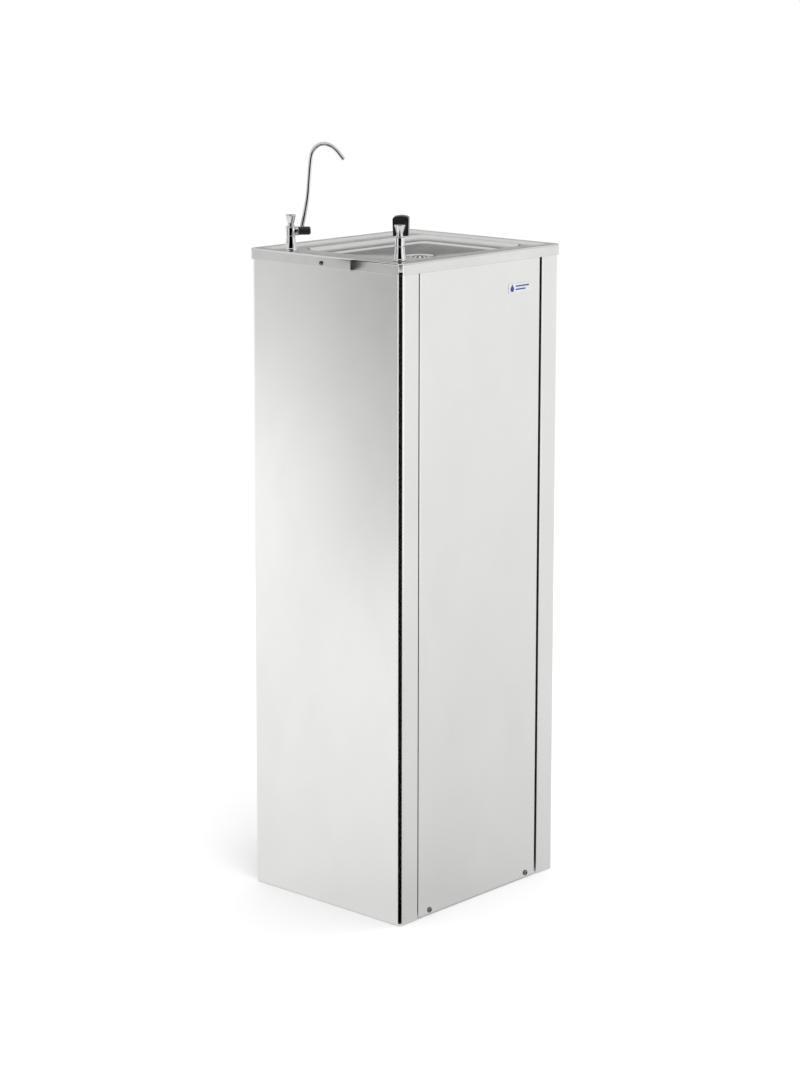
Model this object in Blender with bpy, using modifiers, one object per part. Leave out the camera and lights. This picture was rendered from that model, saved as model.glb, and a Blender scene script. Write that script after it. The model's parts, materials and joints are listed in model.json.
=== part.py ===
"""Free-standing drinking fountain with a bubbler tap and a bottle filler.

Units are metres and +Z is up. The front faces -Y, the taps stand on the -X side of the deck,
and the origin is the centre of the base, on the floor.
"""
import math

import bmesh
import bpy
from mathutils import Matrix, Vector

# Cabinet
HEIGHT = 0.950
WIDTH = 0.344
DEPTH = 0.2915
SHEET = 0.0012
GAP = 0.0003
SIDE = WIDTH / 2
FACE = DEPTH / 2
CORNER_BEND = 0.005
LIP = 0.012
LIP_BEND = 0.002
POST_EDGE = 0.134
REAR_FLANGE = 0.025
PANEL_FOOT = 0.0005
PANEL_TOP = 0.944
FRONT_HALF = 0.1302
FRONT_RECESS = 0.0008
FRONT_FOOT = 0.0025
FRONT_Y = -(FACE - FRONT_RECESS)
BACK_Y = FACE - SHEET - GAP
BACK_HALF = 0.162
TRAY_HEIGHT = 0.020
TRAY_FRONT_HALF = 0.1285
TRAY_NOTCH = 0.0132
TRAY_SIDE_GAP = 0.0015
SHELF_Z = 0.4335

# Basin top
OVERHANG = 0.0015
SKIRT = 0.016
RIM_ROUND = 0.003
DECK_Z = HEIGHT - 0.0035
CAP_SIDE = SIDE + OVERHANG
CAP_FACE = FACE + OVERHANG
CAP_CORNER = 0.0065
ARC_STEPS = 4
BOWL_X = 0.019
BOWL_HALF_X = 0.133
BOWL_HALF_Y = 0.104
BOWL_CORNER = 0.022
DRAIN_X = 0.034
DRAIN_Y = 0.004
DRAIN_SEAT_Z = 0.929
DRAIN_HOLE = 0.0163

# Taps: place on the deck, and the compass direction of the spigot
BUBBLER = (-0.124, -0.100)
FILLER = (-0.132, 0.104)
SPIGOT_ANGLE = math.atan2(0.6, 0.8)
SHANK_RADIUS = 0.006
SHANK_LENGTH = 0.030
SPIGOT_Z = 0.0275
SPIGOT_END = 0.0102
CHAMBER_RADIUS = 0.006
STEM_RADIUS = 0.0045
SPOUT_TILT = math.radians(12.8)
SPOUT_RADIUS = 0.003
SPOUT_ENTRY = (0.0165, 0.035)

# Screws
FRONT_SCREW_X = 0.108
FRONT_SCREW_Z = 0.008
TOP_SCREW_Y = 0.004
TOP_SCREW_Z = 0.9395
BACK_SCREW_X = 0.155
BACK_SCREW_Z = 0.030

# Machinery inside
COMPRESSOR = (-0.075, -0.020)
TANK = (0.0, -0.015)
TANK_RADIUS = 0.065
JACKET_RADIUS = 0.105
COIL_RADIUS = 0.0725
COIL_LOW = 0.505
COIL_HIGH = 0.645
FAN = (0.085, 0.105)
STUB_TOP = 0.742
INLET_VALVE = (-0.110, 0.360)
THERMOSTAT = (0.055, 0.360)
POWER_INLET = (-0.035, 0.360)
WASTE_OUTLET = (0.128, 0.285)


def clear_scene():
    for old in list(bpy.data.objects):
        bpy.data.objects.remove(old, do_unlink=True)
    for old in list(bpy.data.collections):
        bpy.data.collections.remove(old)


def collection(name):
    group = bpy.data.collections.new(name)
    bpy.context.scene.collection.children.link(group)
    return group


clear_scene()
PARTS = collection("drinking_fountain")
CUTTERS = collection("cutters")


def finish_material(name, colour, roughness, metallic):
    material = bpy.data.materials.new(name)
    material.use_nodes = True
    shader = material.node_tree.nodes["Principled BSDF"]
    shader.inputs["Base Color"].default_value = (*colour, 1.0)
    shader.inputs["Roughness"].default_value = roughness
    shader.inputs["Metallic"].default_value = metallic
    return material


STAINLESS = finish_material("satin_stainless", (0.72, 0.72, 0.71), 0.32, 1.0)
PRESSED = finish_material("pressed_stainless", (0.70, 0.70, 0.69), 0.25, 1.0)
GALVANISED = finish_material("galvanised_steel", (0.55, 0.57, 0.58), 0.45, 1.0)
CHROME = finish_material("chrome", (0.82, 0.83, 0.84), 0.06, 1.0)
SCREW_STEEL = finish_material("screw_steel", (0.50, 0.50, 0.50), 0.30, 1.0)
BLACK = finish_material("black_plastic", (0.015, 0.015, 0.016), 0.38, 0.0)
RUBBER = finish_material("rubber", (0.03, 0.03, 0.03), 0.75, 0.0)
BRASS = finish_material("brass", (0.72, 0.53, 0.25), 0.30, 1.0)
COPPER = finish_material("copper", (0.75, 0.42, 0.30), 0.28, 1.0)
BLUE_TUBE = finish_material("blue_tube", (0.10, 0.25, 0.60), 0.45, 0.0)
WHITE_PLASTIC = finish_material("white_plastic", (0.78, 0.78, 0.76), 0.45, 0.0)
FOAM = finish_material("foam", (0.62, 0.60, 0.50), 0.85, 0.0)
BLACK_PAINT = finish_material("black_paint", (0.02, 0.02, 0.02), 0.35, 0.0)
ALUMINIUM = finish_material("aluminium", (0.70, 0.71, 0.72), 0.40, 1.0)
BADGE = finish_material("badge", (0.80, 0.82, 0.84), 0.30, 0.6)


# Shapes ------------------------------------------------------------------------------------

def aim(origin, direction):
    """A frame at origin whose local +Z points along direction."""
    turn = Vector(direction).to_track_quat("Z", "Y").to_matrix().to_4x4()
    return Matrix.Translation(origin) @ turn


def add_object(name, data, matrix, material):
    part = bpy.data.objects.new(name, data)
    PARTS.objects.link(part)
    part.matrix_world = matrix
    data.materials.clear()
    data.materials.append(material)
    return part


def add_cutter(name, mesh, matrix):
    cutter = bpy.data.objects.new(name, mesh)
    CUTTERS.objects.link(cutter)
    cutter.matrix_world = matrix
    cutter.hide_render = True
    cutter.display_type = "WIRE"
    return cutter


def mesh_from(bm, name):
    mesh = bpy.data.meshes.new(name)
    bm.to_mesh(mesh)
    bm.free()
    return mesh


def boxes_mesh(boxes):
    """One mesh of separate boxes, each given by its low and high corner."""
    bm = bmesh.new()
    for low, high in boxes:
        middle = (Vector(low) + Vector(high)) / 2
        size = Vector(high) - Vector(low)
        matrix = Matrix.Translation(middle) @ Matrix.Diagonal((*size, 1.0))
        bmesh.ops.create_cube(bm, size=1.0, matrix=matrix)
    return mesh_from(bm, "boxes")


def rod_mesh(start, end, radius, end_radius=None, sides=16):
    bm = bmesh.new()
    run = Vector(end) - Vector(start)
    matrix = aim((Vector(start) + Vector(end)) / 2, run)
    last_radius = radius if end_radius is None else end_radius
    bmesh.ops.create_cone(bm, cap_ends=True, segments=sides, radius1=radius, radius2=last_radius,
                          depth=run.length, matrix=matrix)
    mesh = mesh_from(bm, "rod")
    mesh.shade_smooth()
    mesh.set_sharp_from_angle(angle=math.radians(40))
    return mesh


def add_box(name, low, high, material, matrix=Matrix.Identity(4), bevel=0.0):
    part = add_object(name, boxes_mesh([(low, high)]), matrix, material)
    if bevel:
        rounding = part.modifiers.new("rounded_edges", "BEVEL")
        rounding.width = bevel
        rounding.segments = 2
    return part


def combine(part, mesh, operation, matrix=None):
    """Cut mesh from part, or join it to part; mesh is in the part's own frame."""
    tool = add_cutter(part.name + "_" + operation.lower(), mesh, matrix or part.matrix_world)
    boolean = part.modifiers.new(operation.lower(), "BOOLEAN")
    boolean.operation = operation
    boolean.solver = "EXACT"
    boolean.object = tool


def drill(part, start, end, radius, sides=16):
    combine(part, rod_mesh(start, end, radius, sides=sides), "DIFFERENCE")


def join_rod(part, start, end, radius, end_radius=None, sides=16):
    combine(part, rod_mesh(start, end, radius, end_radius, sides), "UNION")


def turned(name, profile, matrix, material, sides=16, ring=False):
    """A turned piece; the profile's (radius, height) points run down its outer side."""
    mesh = bpy.data.meshes.new(name)
    points = [(radius, 0.0, height) for radius, height in profile]
    edges = [(i, i + 1) for i in range(len(points) - 1)]
    if ring:
        edges.append((len(points) - 1, 0))
    mesh.from_pydata(points, edges, [])
    part = add_object(name, mesh, matrix, material)
    screw = part.modifiers.new("turn", "SCREW")
    screw.axis = "Z"
    screw.steps = sides
    screw.render_steps = sides
    screw.use_merge_vertices = True
    screw.merge_threshold = 0.00001
    screw.use_smooth_shade = True
    return part


def curve_to_mesh(name, curve):
    """The closed mesh of a curve, its caps welded on."""
    holder = bpy.data.objects.new(name + "_curve", curve)
    bpy.context.scene.collection.objects.link(holder)
    graph = bpy.context.evaluated_depsgraph_get()
    mesh = bpy.data.meshes.new_from_object(holder.evaluated_get(graph), depsgraph=graph)
    bpy.data.objects.remove(holder, do_unlink=True)
    bm = bmesh.new()
    bm.from_mesh(mesh)
    bmesh.ops.remove_doubles(bm, verts=bm.verts, dist=0.000005)
    bm.to_mesh(mesh)
    bm.free()
    return mesh


def tube(name, points, radius, material, matrix=Matrix.Identity(4), resolution=2):
    curve = bpy.data.curves.new(name, "CURVE")
    curve.dimensions = "3D"
    curve.bevel_depth = radius
    curve.bevel_resolution = resolution
    curve.use_fill_caps = True
    spline = curve.splines.new("POLY")
    spline.points.add(len(points) - 1)
    for point, place in zip(spline.points, points):
        point.co = (*place, 1.0)
    mesh = curve_to_mesh(name, curve)
    mesh.shade_smooth()
    mesh.set_sharp_from_angle(angle=math.radians(50))
    return add_object(name, mesh, matrix, material)


def plate_mesh(outline, low, high):
    """A flat outline, filled and extruded from low to high along local Z."""
    curve = bpy.data.curves.new("outline", "CURVE")
    curve.dimensions = "2D"
    curve.fill_mode = "BOTH"
    curve.extrude = (high - low) / 2
    spline = curve.splines.new("POLY")
    spline.points.add(len(outline) - 1)
    spline.use_cyclic_u = True
    for point, (x, y) in zip(spline.points, outline):
        point.co = (x, y, 0.0, 1.0)
    mesh = curve_to_mesh("outline", curve)
    mesh.transform(Matrix.Translation((0.0, 0.0, (low + high) / 2)))
    return mesh


def smooth_route(points, steps):
    """A smooth curve through the given points; its first and last spans stay straight."""
    places = [Vector(point) for point in points]
    route = [places[0]]
    for before, start, end, after in zip(places, places[1:], places[2:], places[3:]):
        for k in range(steps):
            t = k / steps
            linear = (end - before) * t
            square = (2 * before - 5 * start + 4 * end - after) * t ** 2
            cube = (3 * start - 3 * end + after - before) * t ** 3
            route.append((2 * start + linear + square + cube) / 2)
    route += places[-2:]
    return route


def bent_path(corners, bends, steps=4):
    """A polyline whose inner corners are rounded to the given bend radii."""
    path = [Vector(corners[0])]
    for before, corner, after, bend in zip(corners, corners[1:], corners[2:], bends):
        corner = Vector(corner)
        back = (Vector(before) - corner).normalized()
        ahead = (Vector(after) - corner).normalized()
        half = back.angle(ahead) / 2
        centre = corner + (back + ahead).normalized() * bend / math.sin(half)
        first = corner + back * bend / math.tan(half) - centre
        turn = first.angle_signed(corner + ahead * bend / math.tan(half) - centre)
        for k in range(steps + 1):
            angle = -turn * k / steps
            spoke = Matrix.Rotation(angle, 2) @ first
            path.append(centre + spoke)
    path.append(Vector(corners[-1]))
    return path


def bent_sheet(name, path, low, high, material, matrix=Matrix.Identity(4)):
    """Sheet metal folded along a path and extruded along local Z; it thickens to the left."""
    bm = bmesh.new()
    lower = [bm.verts.new((point[0], point[1], low)) for point in path]
    upper = [bm.verts.new((point[0], point[1], high)) for point in path]
    for i in range(len(path) - 1):
        bm.faces.new((lower[i], lower[i + 1], upper[i + 1], upper[i]))
    mesh = mesh_from(bm, name)
    mesh.shade_smooth()
    mesh.set_sharp_from_angle(angle=math.radians(40))
    part = add_object(name, mesh, matrix, material)
    thicken(part)
    return part


def thicken(part):
    shell = part.modifiers.new("sheet", "SOLIDIFY")
    shell.thickness = SHEET
    shell.offset = -1.0
    shell.use_even_offset = True


def rounded_loop(centre_x, centre_y, half_x, half_y, radius, height):
    """A rounded rectangle, counter-clockwise from above."""
    loop = []
    for quarter, (side_x, side_y) in enumerate(((1, 1), (-1, 1), (-1, -1), (1, -1))):
        corner_x = centre_x + side_x * (half_x - radius)
        corner_y = centre_y + side_y * (half_y - radius)
        for k in range(ARC_STEPS + 1):
            angle = math.radians(90 * (quarter + k / ARC_STEPS))
            x = corner_x + radius * math.cos(angle)
            y = corner_y + radius * math.sin(angle)
            loop.append((x, y, height))
    return loop


def round_loop(centre_x, centre_y, radius, height):
    """A circle with as many points as a rounded loop, each opposite its partner."""
    count = 4 * (ARC_STEPS + 1)
    angles = [2 * math.pi * (i + 0.5) / count for i in range(count)]
    return [(centre_x + radius * math.cos(a), centre_y + radius * math.sin(a), height) for a in angles]


def loft_mesh(loops, name):
    bm = bmesh.new()
    rings = [[bm.verts.new(place) for place in loop] for loop in loops]
    for outer, inner in zip(rings, rings[1:]):
        count = len(outer)
        for i in range(count):
            k = (i + 1) % count
            bm.faces.new((outer[i], outer[k], inner[k], inner[i]))
    mesh = mesh_from(bm, name)
    mesh.shade_smooth()
    mesh.set_sharp_from_angle(angle=math.radians(35))
    return mesh


# Cabinet -----------------------------------------------------------------------------------

def side_panel(name, side):
    """One folded sheet: front lip, front post, side and rear flange."""
    corners = [(-SIDE + REAR_FLANGE, FACE), (-SIDE, FACE), (-SIDE, -FACE), (-POST_EDGE, -FACE),
               (-POST_EDGE, -FACE + LIP)]
    bends = [CORNER_BEND, CORNER_BEND, LIP_BEND]
    if side > 0:
        corners = [(-x, y) for x, y in reversed(corners)]
        bends = bends[::-1]
    path = bent_path(corners, bends)
    part = bent_sheet(name, path, PANEL_FOOT, PANEL_TOP, STAINLESS)
    inner = side * (SIDE - 0.004)
    outer = side * (SIDE + 0.002)
    drill(part, (inner, TOP_SCREW_Y, TOP_SCREW_Z), (outer, TOP_SCREW_Y, TOP_SCREW_Z), 0.0021, 12)
    screw_x = side * BACK_SCREW_X
    drill(part, (screw_x, FACE - 0.004, BACK_SCREW_Z), (screw_x, FACE + 0.002, BACK_SCREW_Z), 0.0021, 12)


def front_panel():
    """Removable cover; its side returns stand inside the two posts."""
    corners = [(-FRONT_HALF, FRONT_Y + LIP), (-FRONT_HALF, FRONT_Y), (FRONT_HALF, FRONT_Y),
               (FRONT_HALF, FRONT_Y + LIP)]
    path = bent_path(corners, [LIP_BEND, LIP_BEND])
    part = bent_sheet("front_panel", path, FRONT_FOOT, 0.9425, STAINLESS)
    for x in (-FRONT_SCREW_X, FRONT_SCREW_X):
        drill(part, (x, FRONT_Y - 0.002, FRONT_SCREW_Z), (x, FRONT_Y + 0.004, FRONT_SCREW_Z), 0.0024, 12)


def louvre_slots():
    """Two columns of air slots low down, in front of the condenser and the compressor."""
    slots = []
    for column in (-0.066, 0.066):
        for row in range(8):
            z = 0.060 + 0.020 * row
            slots.append(((column - 0.050, BACK_Y - 0.004, z), (column + 0.050, BACK_Y + 0.002, z + 0.005)))
    return slots


def back_panel():
    part = add_box("back_panel", (-BACK_HALF, BACK_Y - SHEET, 0.0012), (BACK_HALF, BACK_Y, 0.9425),
                   GALVANISED)
    combine(part, boxes_mesh(louvre_slots()), "DIFFERENCE")
    x, z = POWER_INLET
    socket = [((x - 0.0138, BACK_Y - 0.004, z - 0.0103), (x + 0.0138, BACK_Y + 0.002, z + 0.0103))]
    combine(part, boxes_mesh(socket), "DIFFERENCE")
    holes = [(*INLET_VALVE, 0.0099), (*THERMOSTAT, 0.0040), (*WASTE_OUTLET, 0.0134)]
    holes += [(side * BACK_SCREW_X, BACK_SCREW_Z, 0.0021) for side in (-1, 1)]
    for x, z, radius in holes:
        drill(part, (x, BACK_Y - 0.004, z), (x, BACK_Y + 0.002, z), radius)


def tray_boxes(inset, floor, top):
    """The tray's main box and its narrower front neck, between the lips of the two posts."""
    side = SIDE - SHEET - TRAY_SIDE_GAP - inset
    rear = BACK_Y - SHEET - GAP - inset
    front = FRONT_Y + SHEET + GAP + inset
    neck = TRAY_FRONT_HALF - inset
    notch = -FACE + TRAY_NOTCH + inset
    main = ((-side, notch, floor), (side, rear, top))
    return main, ((-neck, front, floor), (neck, notch + LIP, top))


def base_tray():
    """The pan that the cabinet stands on; it fills the foot of the cabinet between the sheets."""
    main, neck = tray_boxes(0.0, 0.0, TRAY_HEIGHT)
    part = add_box("base_tray", *main, GALVANISED)
    combine(part, boxes_mesh([neck]), "UNION")
    for hollow in tray_boxes(SHEET, SHEET, TRAY_HEIGHT + 0.01):
        combine(part, boxes_mesh([hollow]), "DIFFERENCE")
    for x in (-FRONT_SCREW_X, FRONT_SCREW_X):
        drill(part, (x, FRONT_Y, FRONT_SCREW_Z), (x, FRONT_Y + 0.006, FRONT_SCREW_Z), 0.0024, 12)


def tank_shelf():
    """Folded shelf across the cabinet that carries the cold tank; its path runs in the YZ plane."""
    corners = [(-0.128, SHELF_Z - 0.016), (-0.128, SHELF_Z), (0.095, SHELF_Z), (0.095, SHELF_Z - 0.016)]
    path = bent_path(corners[::-1], [LIP_BEND, LIP_BEND])
    turn = Matrix(((0, 0, 1, 0), (1, 0, 0, 0), (0, 1, 0, 0), (0, 0, 0, 1)))
    inner = SIDE - SHEET - GAP
    bent_sheet("tank_shelf", path, -inner, inner, GALVANISED, turn)


def screw(name, place, direction, head_radius, length):
    """Domed screw; its head's underside is at place and it drives in against direction."""
    shank = 0.0018
    profile = [(0.0, 0.0024), (head_radius * 0.5, 0.0021), (head_radius * 0.85, 0.0013),
               (head_radius, 0.0003), (head_radius, 0.0), (shank, 0.0), (shank, -length),
               (0.0, -length - 0.001)]
    turned(name, profile, aim(place, direction), SCREW_STEEL, sides=12)


def screws():
    for label, side in (("left", -1), ("right", 1)):
        place = (side * FRONT_SCREW_X, FRONT_Y - GAP, FRONT_SCREW_Z)
        screw("front_screw_" + label, place, (0, -1, 0), 0.0045, 0.010)
        place = (side * (CAP_SIDE + GAP), TOP_SCREW_Y, TOP_SCREW_Z)
        screw("top_screw_" + label, place, (side, 0, 0), 0.0035, 0.008)
        place = (side * BACK_SCREW_X, FACE + GAP, BACK_SCREW_Z)
        screw("back_screw_" + label, place, (0, 1, 0), 0.0038, 0.008)


def badge():
    """Blank name badge near the top right of the front panel."""
    low = (0.0585, FRONT_Y - GAP - 0.0008, 0.8870)
    high = (0.1085, FRONT_Y - GAP, 0.9010)
    add_box("badge", low, high, BADGE)


# Basin top and waste -----------------------------------------------------------------------

def basin_loops():
    """Sections of the pressed top, from the skirt's foot over the rim and deck to the drain."""
    loops = []

    def cap(inset, height):
        corner = max(CAP_CORNER - inset * 0.3, 0.003)
        loops.append(rounded_loop(0, 0, CAP_SIDE - inset, CAP_FACE - inset, corner, height))

    def bowl(inset, height):
        corner = BOWL_CORNER - inset * 0.4
        loops.append(rounded_loop(BOWL_X, 0, BOWL_HALF_X - inset, BOWL_HALF_Y - inset, corner, height))

    cap(0.0, HEIGHT - SKIRT)
    for k in range(4):
        angle = math.radians(30 * k)
        cap(RIM_ROUND * (1 - math.cos(angle)), HEIGHT - RIM_ROUND * (1 - math.sin(angle)))
    cap(0.0125, HEIGHT)
    cap(0.0142, HEIGHT - 0.0006)
    cap(0.0152, HEIGHT - 0.0020)
    cap(0.0162, HEIGHT - 0.0031)
    cap(0.0180, DECK_Z)
    bowl(0.0, DECK_Z)
    bowl(0.0022, DECK_Z - 0.0008)
    bowl(0.0038, DECK_Z - 0.0026)
    bowl(0.0060, DECK_Z - 0.0044)
    bowl(0.0230, DECK_Z - 0.0066)
    bowl(0.0252, DECK_Z - 0.0084)
    seat = ((0.0300, 0.9322), (0.0218, 0.9306), (0.0206, DRAIN_SEAT_Z), (DRAIN_HOLE, DRAIN_SEAT_Z))
    for radius, height in seat:
        loops.append(round_loop(DRAIN_X, DRAIN_Y, radius, height))
    return loops


def basin_top():
    part = add_object("basin_top", loft_mesh(basin_loops(), "basin_top"), Matrix.Identity(4), PRESSED)
    thicken(part)
    for x, y in (BUBBLER, FILLER):
        drill(part, (x, y, DECK_Z - 0.005), (x, y, DECK_Z + 0.005), SHANK_RADIUS + GAP)
    for side in (-1, 1):
        start = (side * (CAP_SIDE - 0.004), TOP_SCREW_Y, TOP_SCREW_Z)
        drill(part, start, (side * (CAP_SIDE + 0.002), TOP_SCREW_Y, TOP_SCREW_Z), 0.0021, 12)


def drain():
    """Flanged drain body through the basin, its slotted strainer, gasket, nut and waste pipe."""
    flange_top = DRAIN_SEAT_Z + 0.0020
    at_seat = Matrix.Translation((DRAIN_X, DRAIN_Y, DRAIN_SEAT_Z))
    stem = DRAIN_HOLE - GAP
    body = [(0.0162, 0.0020), (0.0190, 0.0018), (0.0195, 0.0003), (stem, 0.0003), (stem, -0.0340),
            (0.0132, -0.0340), (0.0132, 0.0004), (0.0156, 0.0008)]
    turned("drain_body", body, at_seat, PRESSED, sides=20, ring=True)
    dish = [(0.0, -0.0020), (0.0075, -0.0016), (0.0112, 0.0006), (0.0140, 0.0018), (0.0150, 0.0018),
            (0.0150, 0.0012), (0.0138, 0.0011), (0.0116, -0.0001), (0.0079, -0.0026), (0.0, -0.0030)]
    strainer = turned("drain_strainer", dish, at_seat, PRESSED, sides=20)
    bm = bmesh.new()
    for k in range(8):
        turn = Matrix.Rotation(math.radians(45 * k + 22.5), 4, "Z")
        shape = Matrix.Translation((0.0079, 0.0, 0.0)) @ Matrix.Diagonal((0.0076, 0.0024, 0.02, 1.0))
        bmesh.ops.create_cube(bm, size=1.0, matrix=turn @ shape)
    combine(strainer, mesh_from(bm, "slots"), "DIFFERENCE")
    below = DRAIN_SEAT_Z - SHEET - GAP
    gasket = [(0.0205, 0.0), (0.0205, -0.0022), (0.0165, -0.0022), (0.0165, 0.0)]
    turned("drain_gasket", gasket, Matrix.Translation((DRAIN_X, DRAIN_Y, below)), RUBBER, ring=True)
    nut_top = below - 0.0025
    hex_nut("drain_nut", (DRAIN_X, DRAIN_Y, nut_top), 0.0235, stem + GAP, 0.0080, WHITE_PLASTIC)
    waste_pipe(stem, flange_top - 0.036)


def waste_pipe(stem, foot):
    """Plastic pipe from the drain body, behind the tank, to the outlet in the back panel."""
    x, z = WASTE_OUTLET
    mouth_y = FACE + 0.020
    run = [(DRAIN_X, DRAIN_Y, 0.896), (DRAIN_X, DRAIN_Y, 0.878), (0.045, 0.016, 0.852),
           (0.090, 0.066, 0.836), (0.124, 0.100, 0.822), (x, 0.114, 0.790), (x, 0.114, 0.600),
           (x, 0.114, 0.340), (x, 0.118, 0.306), (x, 0.132, z + 0.002), (x, 0.140, z), (x, mouth_y, z)]
    part = tube("waste_pipe", smooth_route(run, 2), 0.013, WHITE_PLASTIC)
    join_rod(part, (DRAIN_X, DRAIN_Y, 0.888), (DRAIN_X, DRAIN_Y, 0.9135), 0.0195)
    drill(part, (DRAIN_X, DRAIN_Y, foot - 0.004), (DRAIN_X, DRAIN_Y, 0.915), stem + GAP, 20)
    drill(part, (x, mouth_y - 0.024, z), (x, mouth_y + 0.002, z), 0.0105)


def hex_nut(name, top_centre, radius, bore, height, material):
    bm = bmesh.new()
    middle = Matrix.Translation((0.0, 0.0, -height / 2))
    bmesh.ops.create_cone(bm, cap_ends=True, segments=6, radius1=radius, radius2=radius, depth=height,
                          matrix=middle)
    part = add_object(name, mesh_from(bm, name), Matrix.Translation(top_centre), material)
    drill(part, (0, 0, -height - 0.001), (0, 0, 0.001), bore)


# Taps --------------------------------------------------------------------------------------

def tap_frame(place, angle):
    """Frame on the deck under a tap: local +Z up its stem, local +X along its spigot."""
    return Matrix.Translation((*place, DECK_Z)) @ Matrix.Rotation(angle, 4, "Z")


def tap(kind, frame):
    """The valve that both taps share: body, button, spring, bonnet, washer and nut."""
    body = [(0.0, 0.0335), (0.0070, 0.0335), (0.0074, 0.0329), (0.0074, 0.0215), (0.0066, 0.0206),
            (0.0066, 0.0196), (0.0070, 0.0186), (0.0078, 0.0110), (0.0092, 0.0045), (0.0104, 0.0024),
            (0.0106, 0.0003), (SHANK_RADIUS, 0.0003), (SHANK_RADIUS, -SHANK_LENGTH), (0.0, -SHANK_LENGTH)]
    part = turned(kind + "_body", body, frame, CHROME)
    join_rod(part, (0.0, 0.0, SPIGOT_Z), (0.0092, 0.0, SPIGOT_Z), 0.0055, sides=12)
    join_rod(part, (0.0079, 0.0, SPIGOT_Z), (SPIGOT_END, 0.0, SPIGOT_Z), 0.0070)
    drill(part, (0, 0, 0.0150), (0, 0, 0.0350), CHAMBER_RADIUS, 22)
    drill(part, (0, 0, 0.0080), (0, 0, 0.0160), STEM_RADIUS + GAP)
    drill(part, (0, 0, -SHANK_LENGTH - 0.001), (0, 0, 0.0090), 0.0025, 12)
    drill(part, (0.0050, 0.0, SPIGOT_Z), (SPIGOT_END + 0.001, 0.0, SPIGOT_Z), 0.0020, 12)

    button = [(0.0, 0.0515), (0.0060, 0.0513), (0.0078, 0.0506), (0.0083, 0.0496), (0.0070, 0.0450),
              (0.0056, 0.0408), (STEM_RADIUS, 0.0388), (STEM_RADIUS, 0.0332), (0.0057, 0.0332),
              (0.0057, 0.0314), (STEM_RADIUS, 0.0314), (STEM_RADIUS, 0.0125), (0.0, 0.0115)]
    turned(kind + "_button", button, frame, CHROME)

    bonnet = [(0.0060, 0.0352), (0.0064, 0.0348), (0.0064, 0.0338), (STEM_RADIUS + GAP, 0.0338),
              (STEM_RADIUS + GAP, 0.0352)]
    turned(kind + "_bonnet", bonnet, frame, CHROME, ring=True)

    turns = 4
    per_turn = 10
    wire = []
    for k in range(turns * per_turn + 1):
        angle = 2 * math.pi * k / per_turn
        height = 0.0157 + 0.0150 * k / (turns * per_turn)
        wire.append((0.00525 * math.cos(angle), 0.00525 * math.sin(angle), height))
    tube(kind + "_spring", wire, 0.00035, SCREW_STEEL, frame, resolution=0)

    bore = SHANK_RADIUS + GAP
    top = -SHEET - GAP
    washer = [(0.0105, top), (0.0105, top - 0.0020), (bore, top - 0.0020), (bore, top)]
    turned(kind + "_washer", washer, frame, RUBBER, ring=True)
    hex_nut(kind + "_nut", frame @ Vector((0, 0, top - 0.0023)), 0.0112, bore, 0.0050, BRASS)


def bubbler():
    frame = tap_frame(BUBBLER, SPIGOT_ANGLE)
    tap("bubbler", frame)
    start = SPIGOT_END + GAP
    elbow = add_object("bubbler_nozzle", rod_mesh((start, 0, SPIGOT_Z), (0.0235, 0, SPIGOT_Z), 0.0053),
                       frame, CHROME)
    join_rod(elbow, (0.0185, 0.0, SPIGOT_Z), (0.0200, 0.0, 0.0420), 0.0046, 0.0030)
    drill(elbow, (0.0197, 0.0, 0.0390), (0.0203, 0.0, 0.0450), 0.0013, 12)
    hood(frame)


def arch(half_width, low, high, round_top):
    """Front outline of the lip guard: straight sides that draw in downwards, rounded top corners."""
    points = [(-half_width * 0.90, low), (half_width * 0.90, low)]
    for side in (1, -1):
        angles = range(0, 91, 30) if side > 0 else range(90, -1, -30)
        for angle in angles:
            turn = math.radians(angle)
            x = side * (half_width - round_top + round_top * math.cos(turn))
            points.append((x, high - round_top + round_top * math.sin(turn)))
    return points


def hood(frame):
    """Black lip guard over the nozzle, open towards the basin."""
    back = 0.0108
    wall = 0.0018
    upright = Matrix(((0, 0, 1, 0), (1, 0, 0, 0), (0, 1, 0, 0), (0, 0, 0, 1)))
    shell = add_object("bubbler_hood", plate_mesh(arch(0.0117, 0.0334, 0.0628, 0.0065), back, 0.0295),
                       frame @ upright, BLACK)
    inside = arch(0.0117 - wall, 0.0334 + wall, 0.0628 - wall, 0.0050)
    combine(shell, plate_mesh(inside, back + wall, 0.0310), "DIFFERENCE")
    hole = rod_mesh((0.0186, 0.0, 0.0325), (0.0190, 0.0, 0.0370), 0.0058)
    combine(shell, hole, "DIFFERENCE", frame)


def spout_axis():
    """Unit direction of the swan neck's lower end, in the tap's frame."""
    return Vector((math.sin(SPOUT_TILT), 0.0, math.cos(SPOUT_TILT)))


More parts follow.
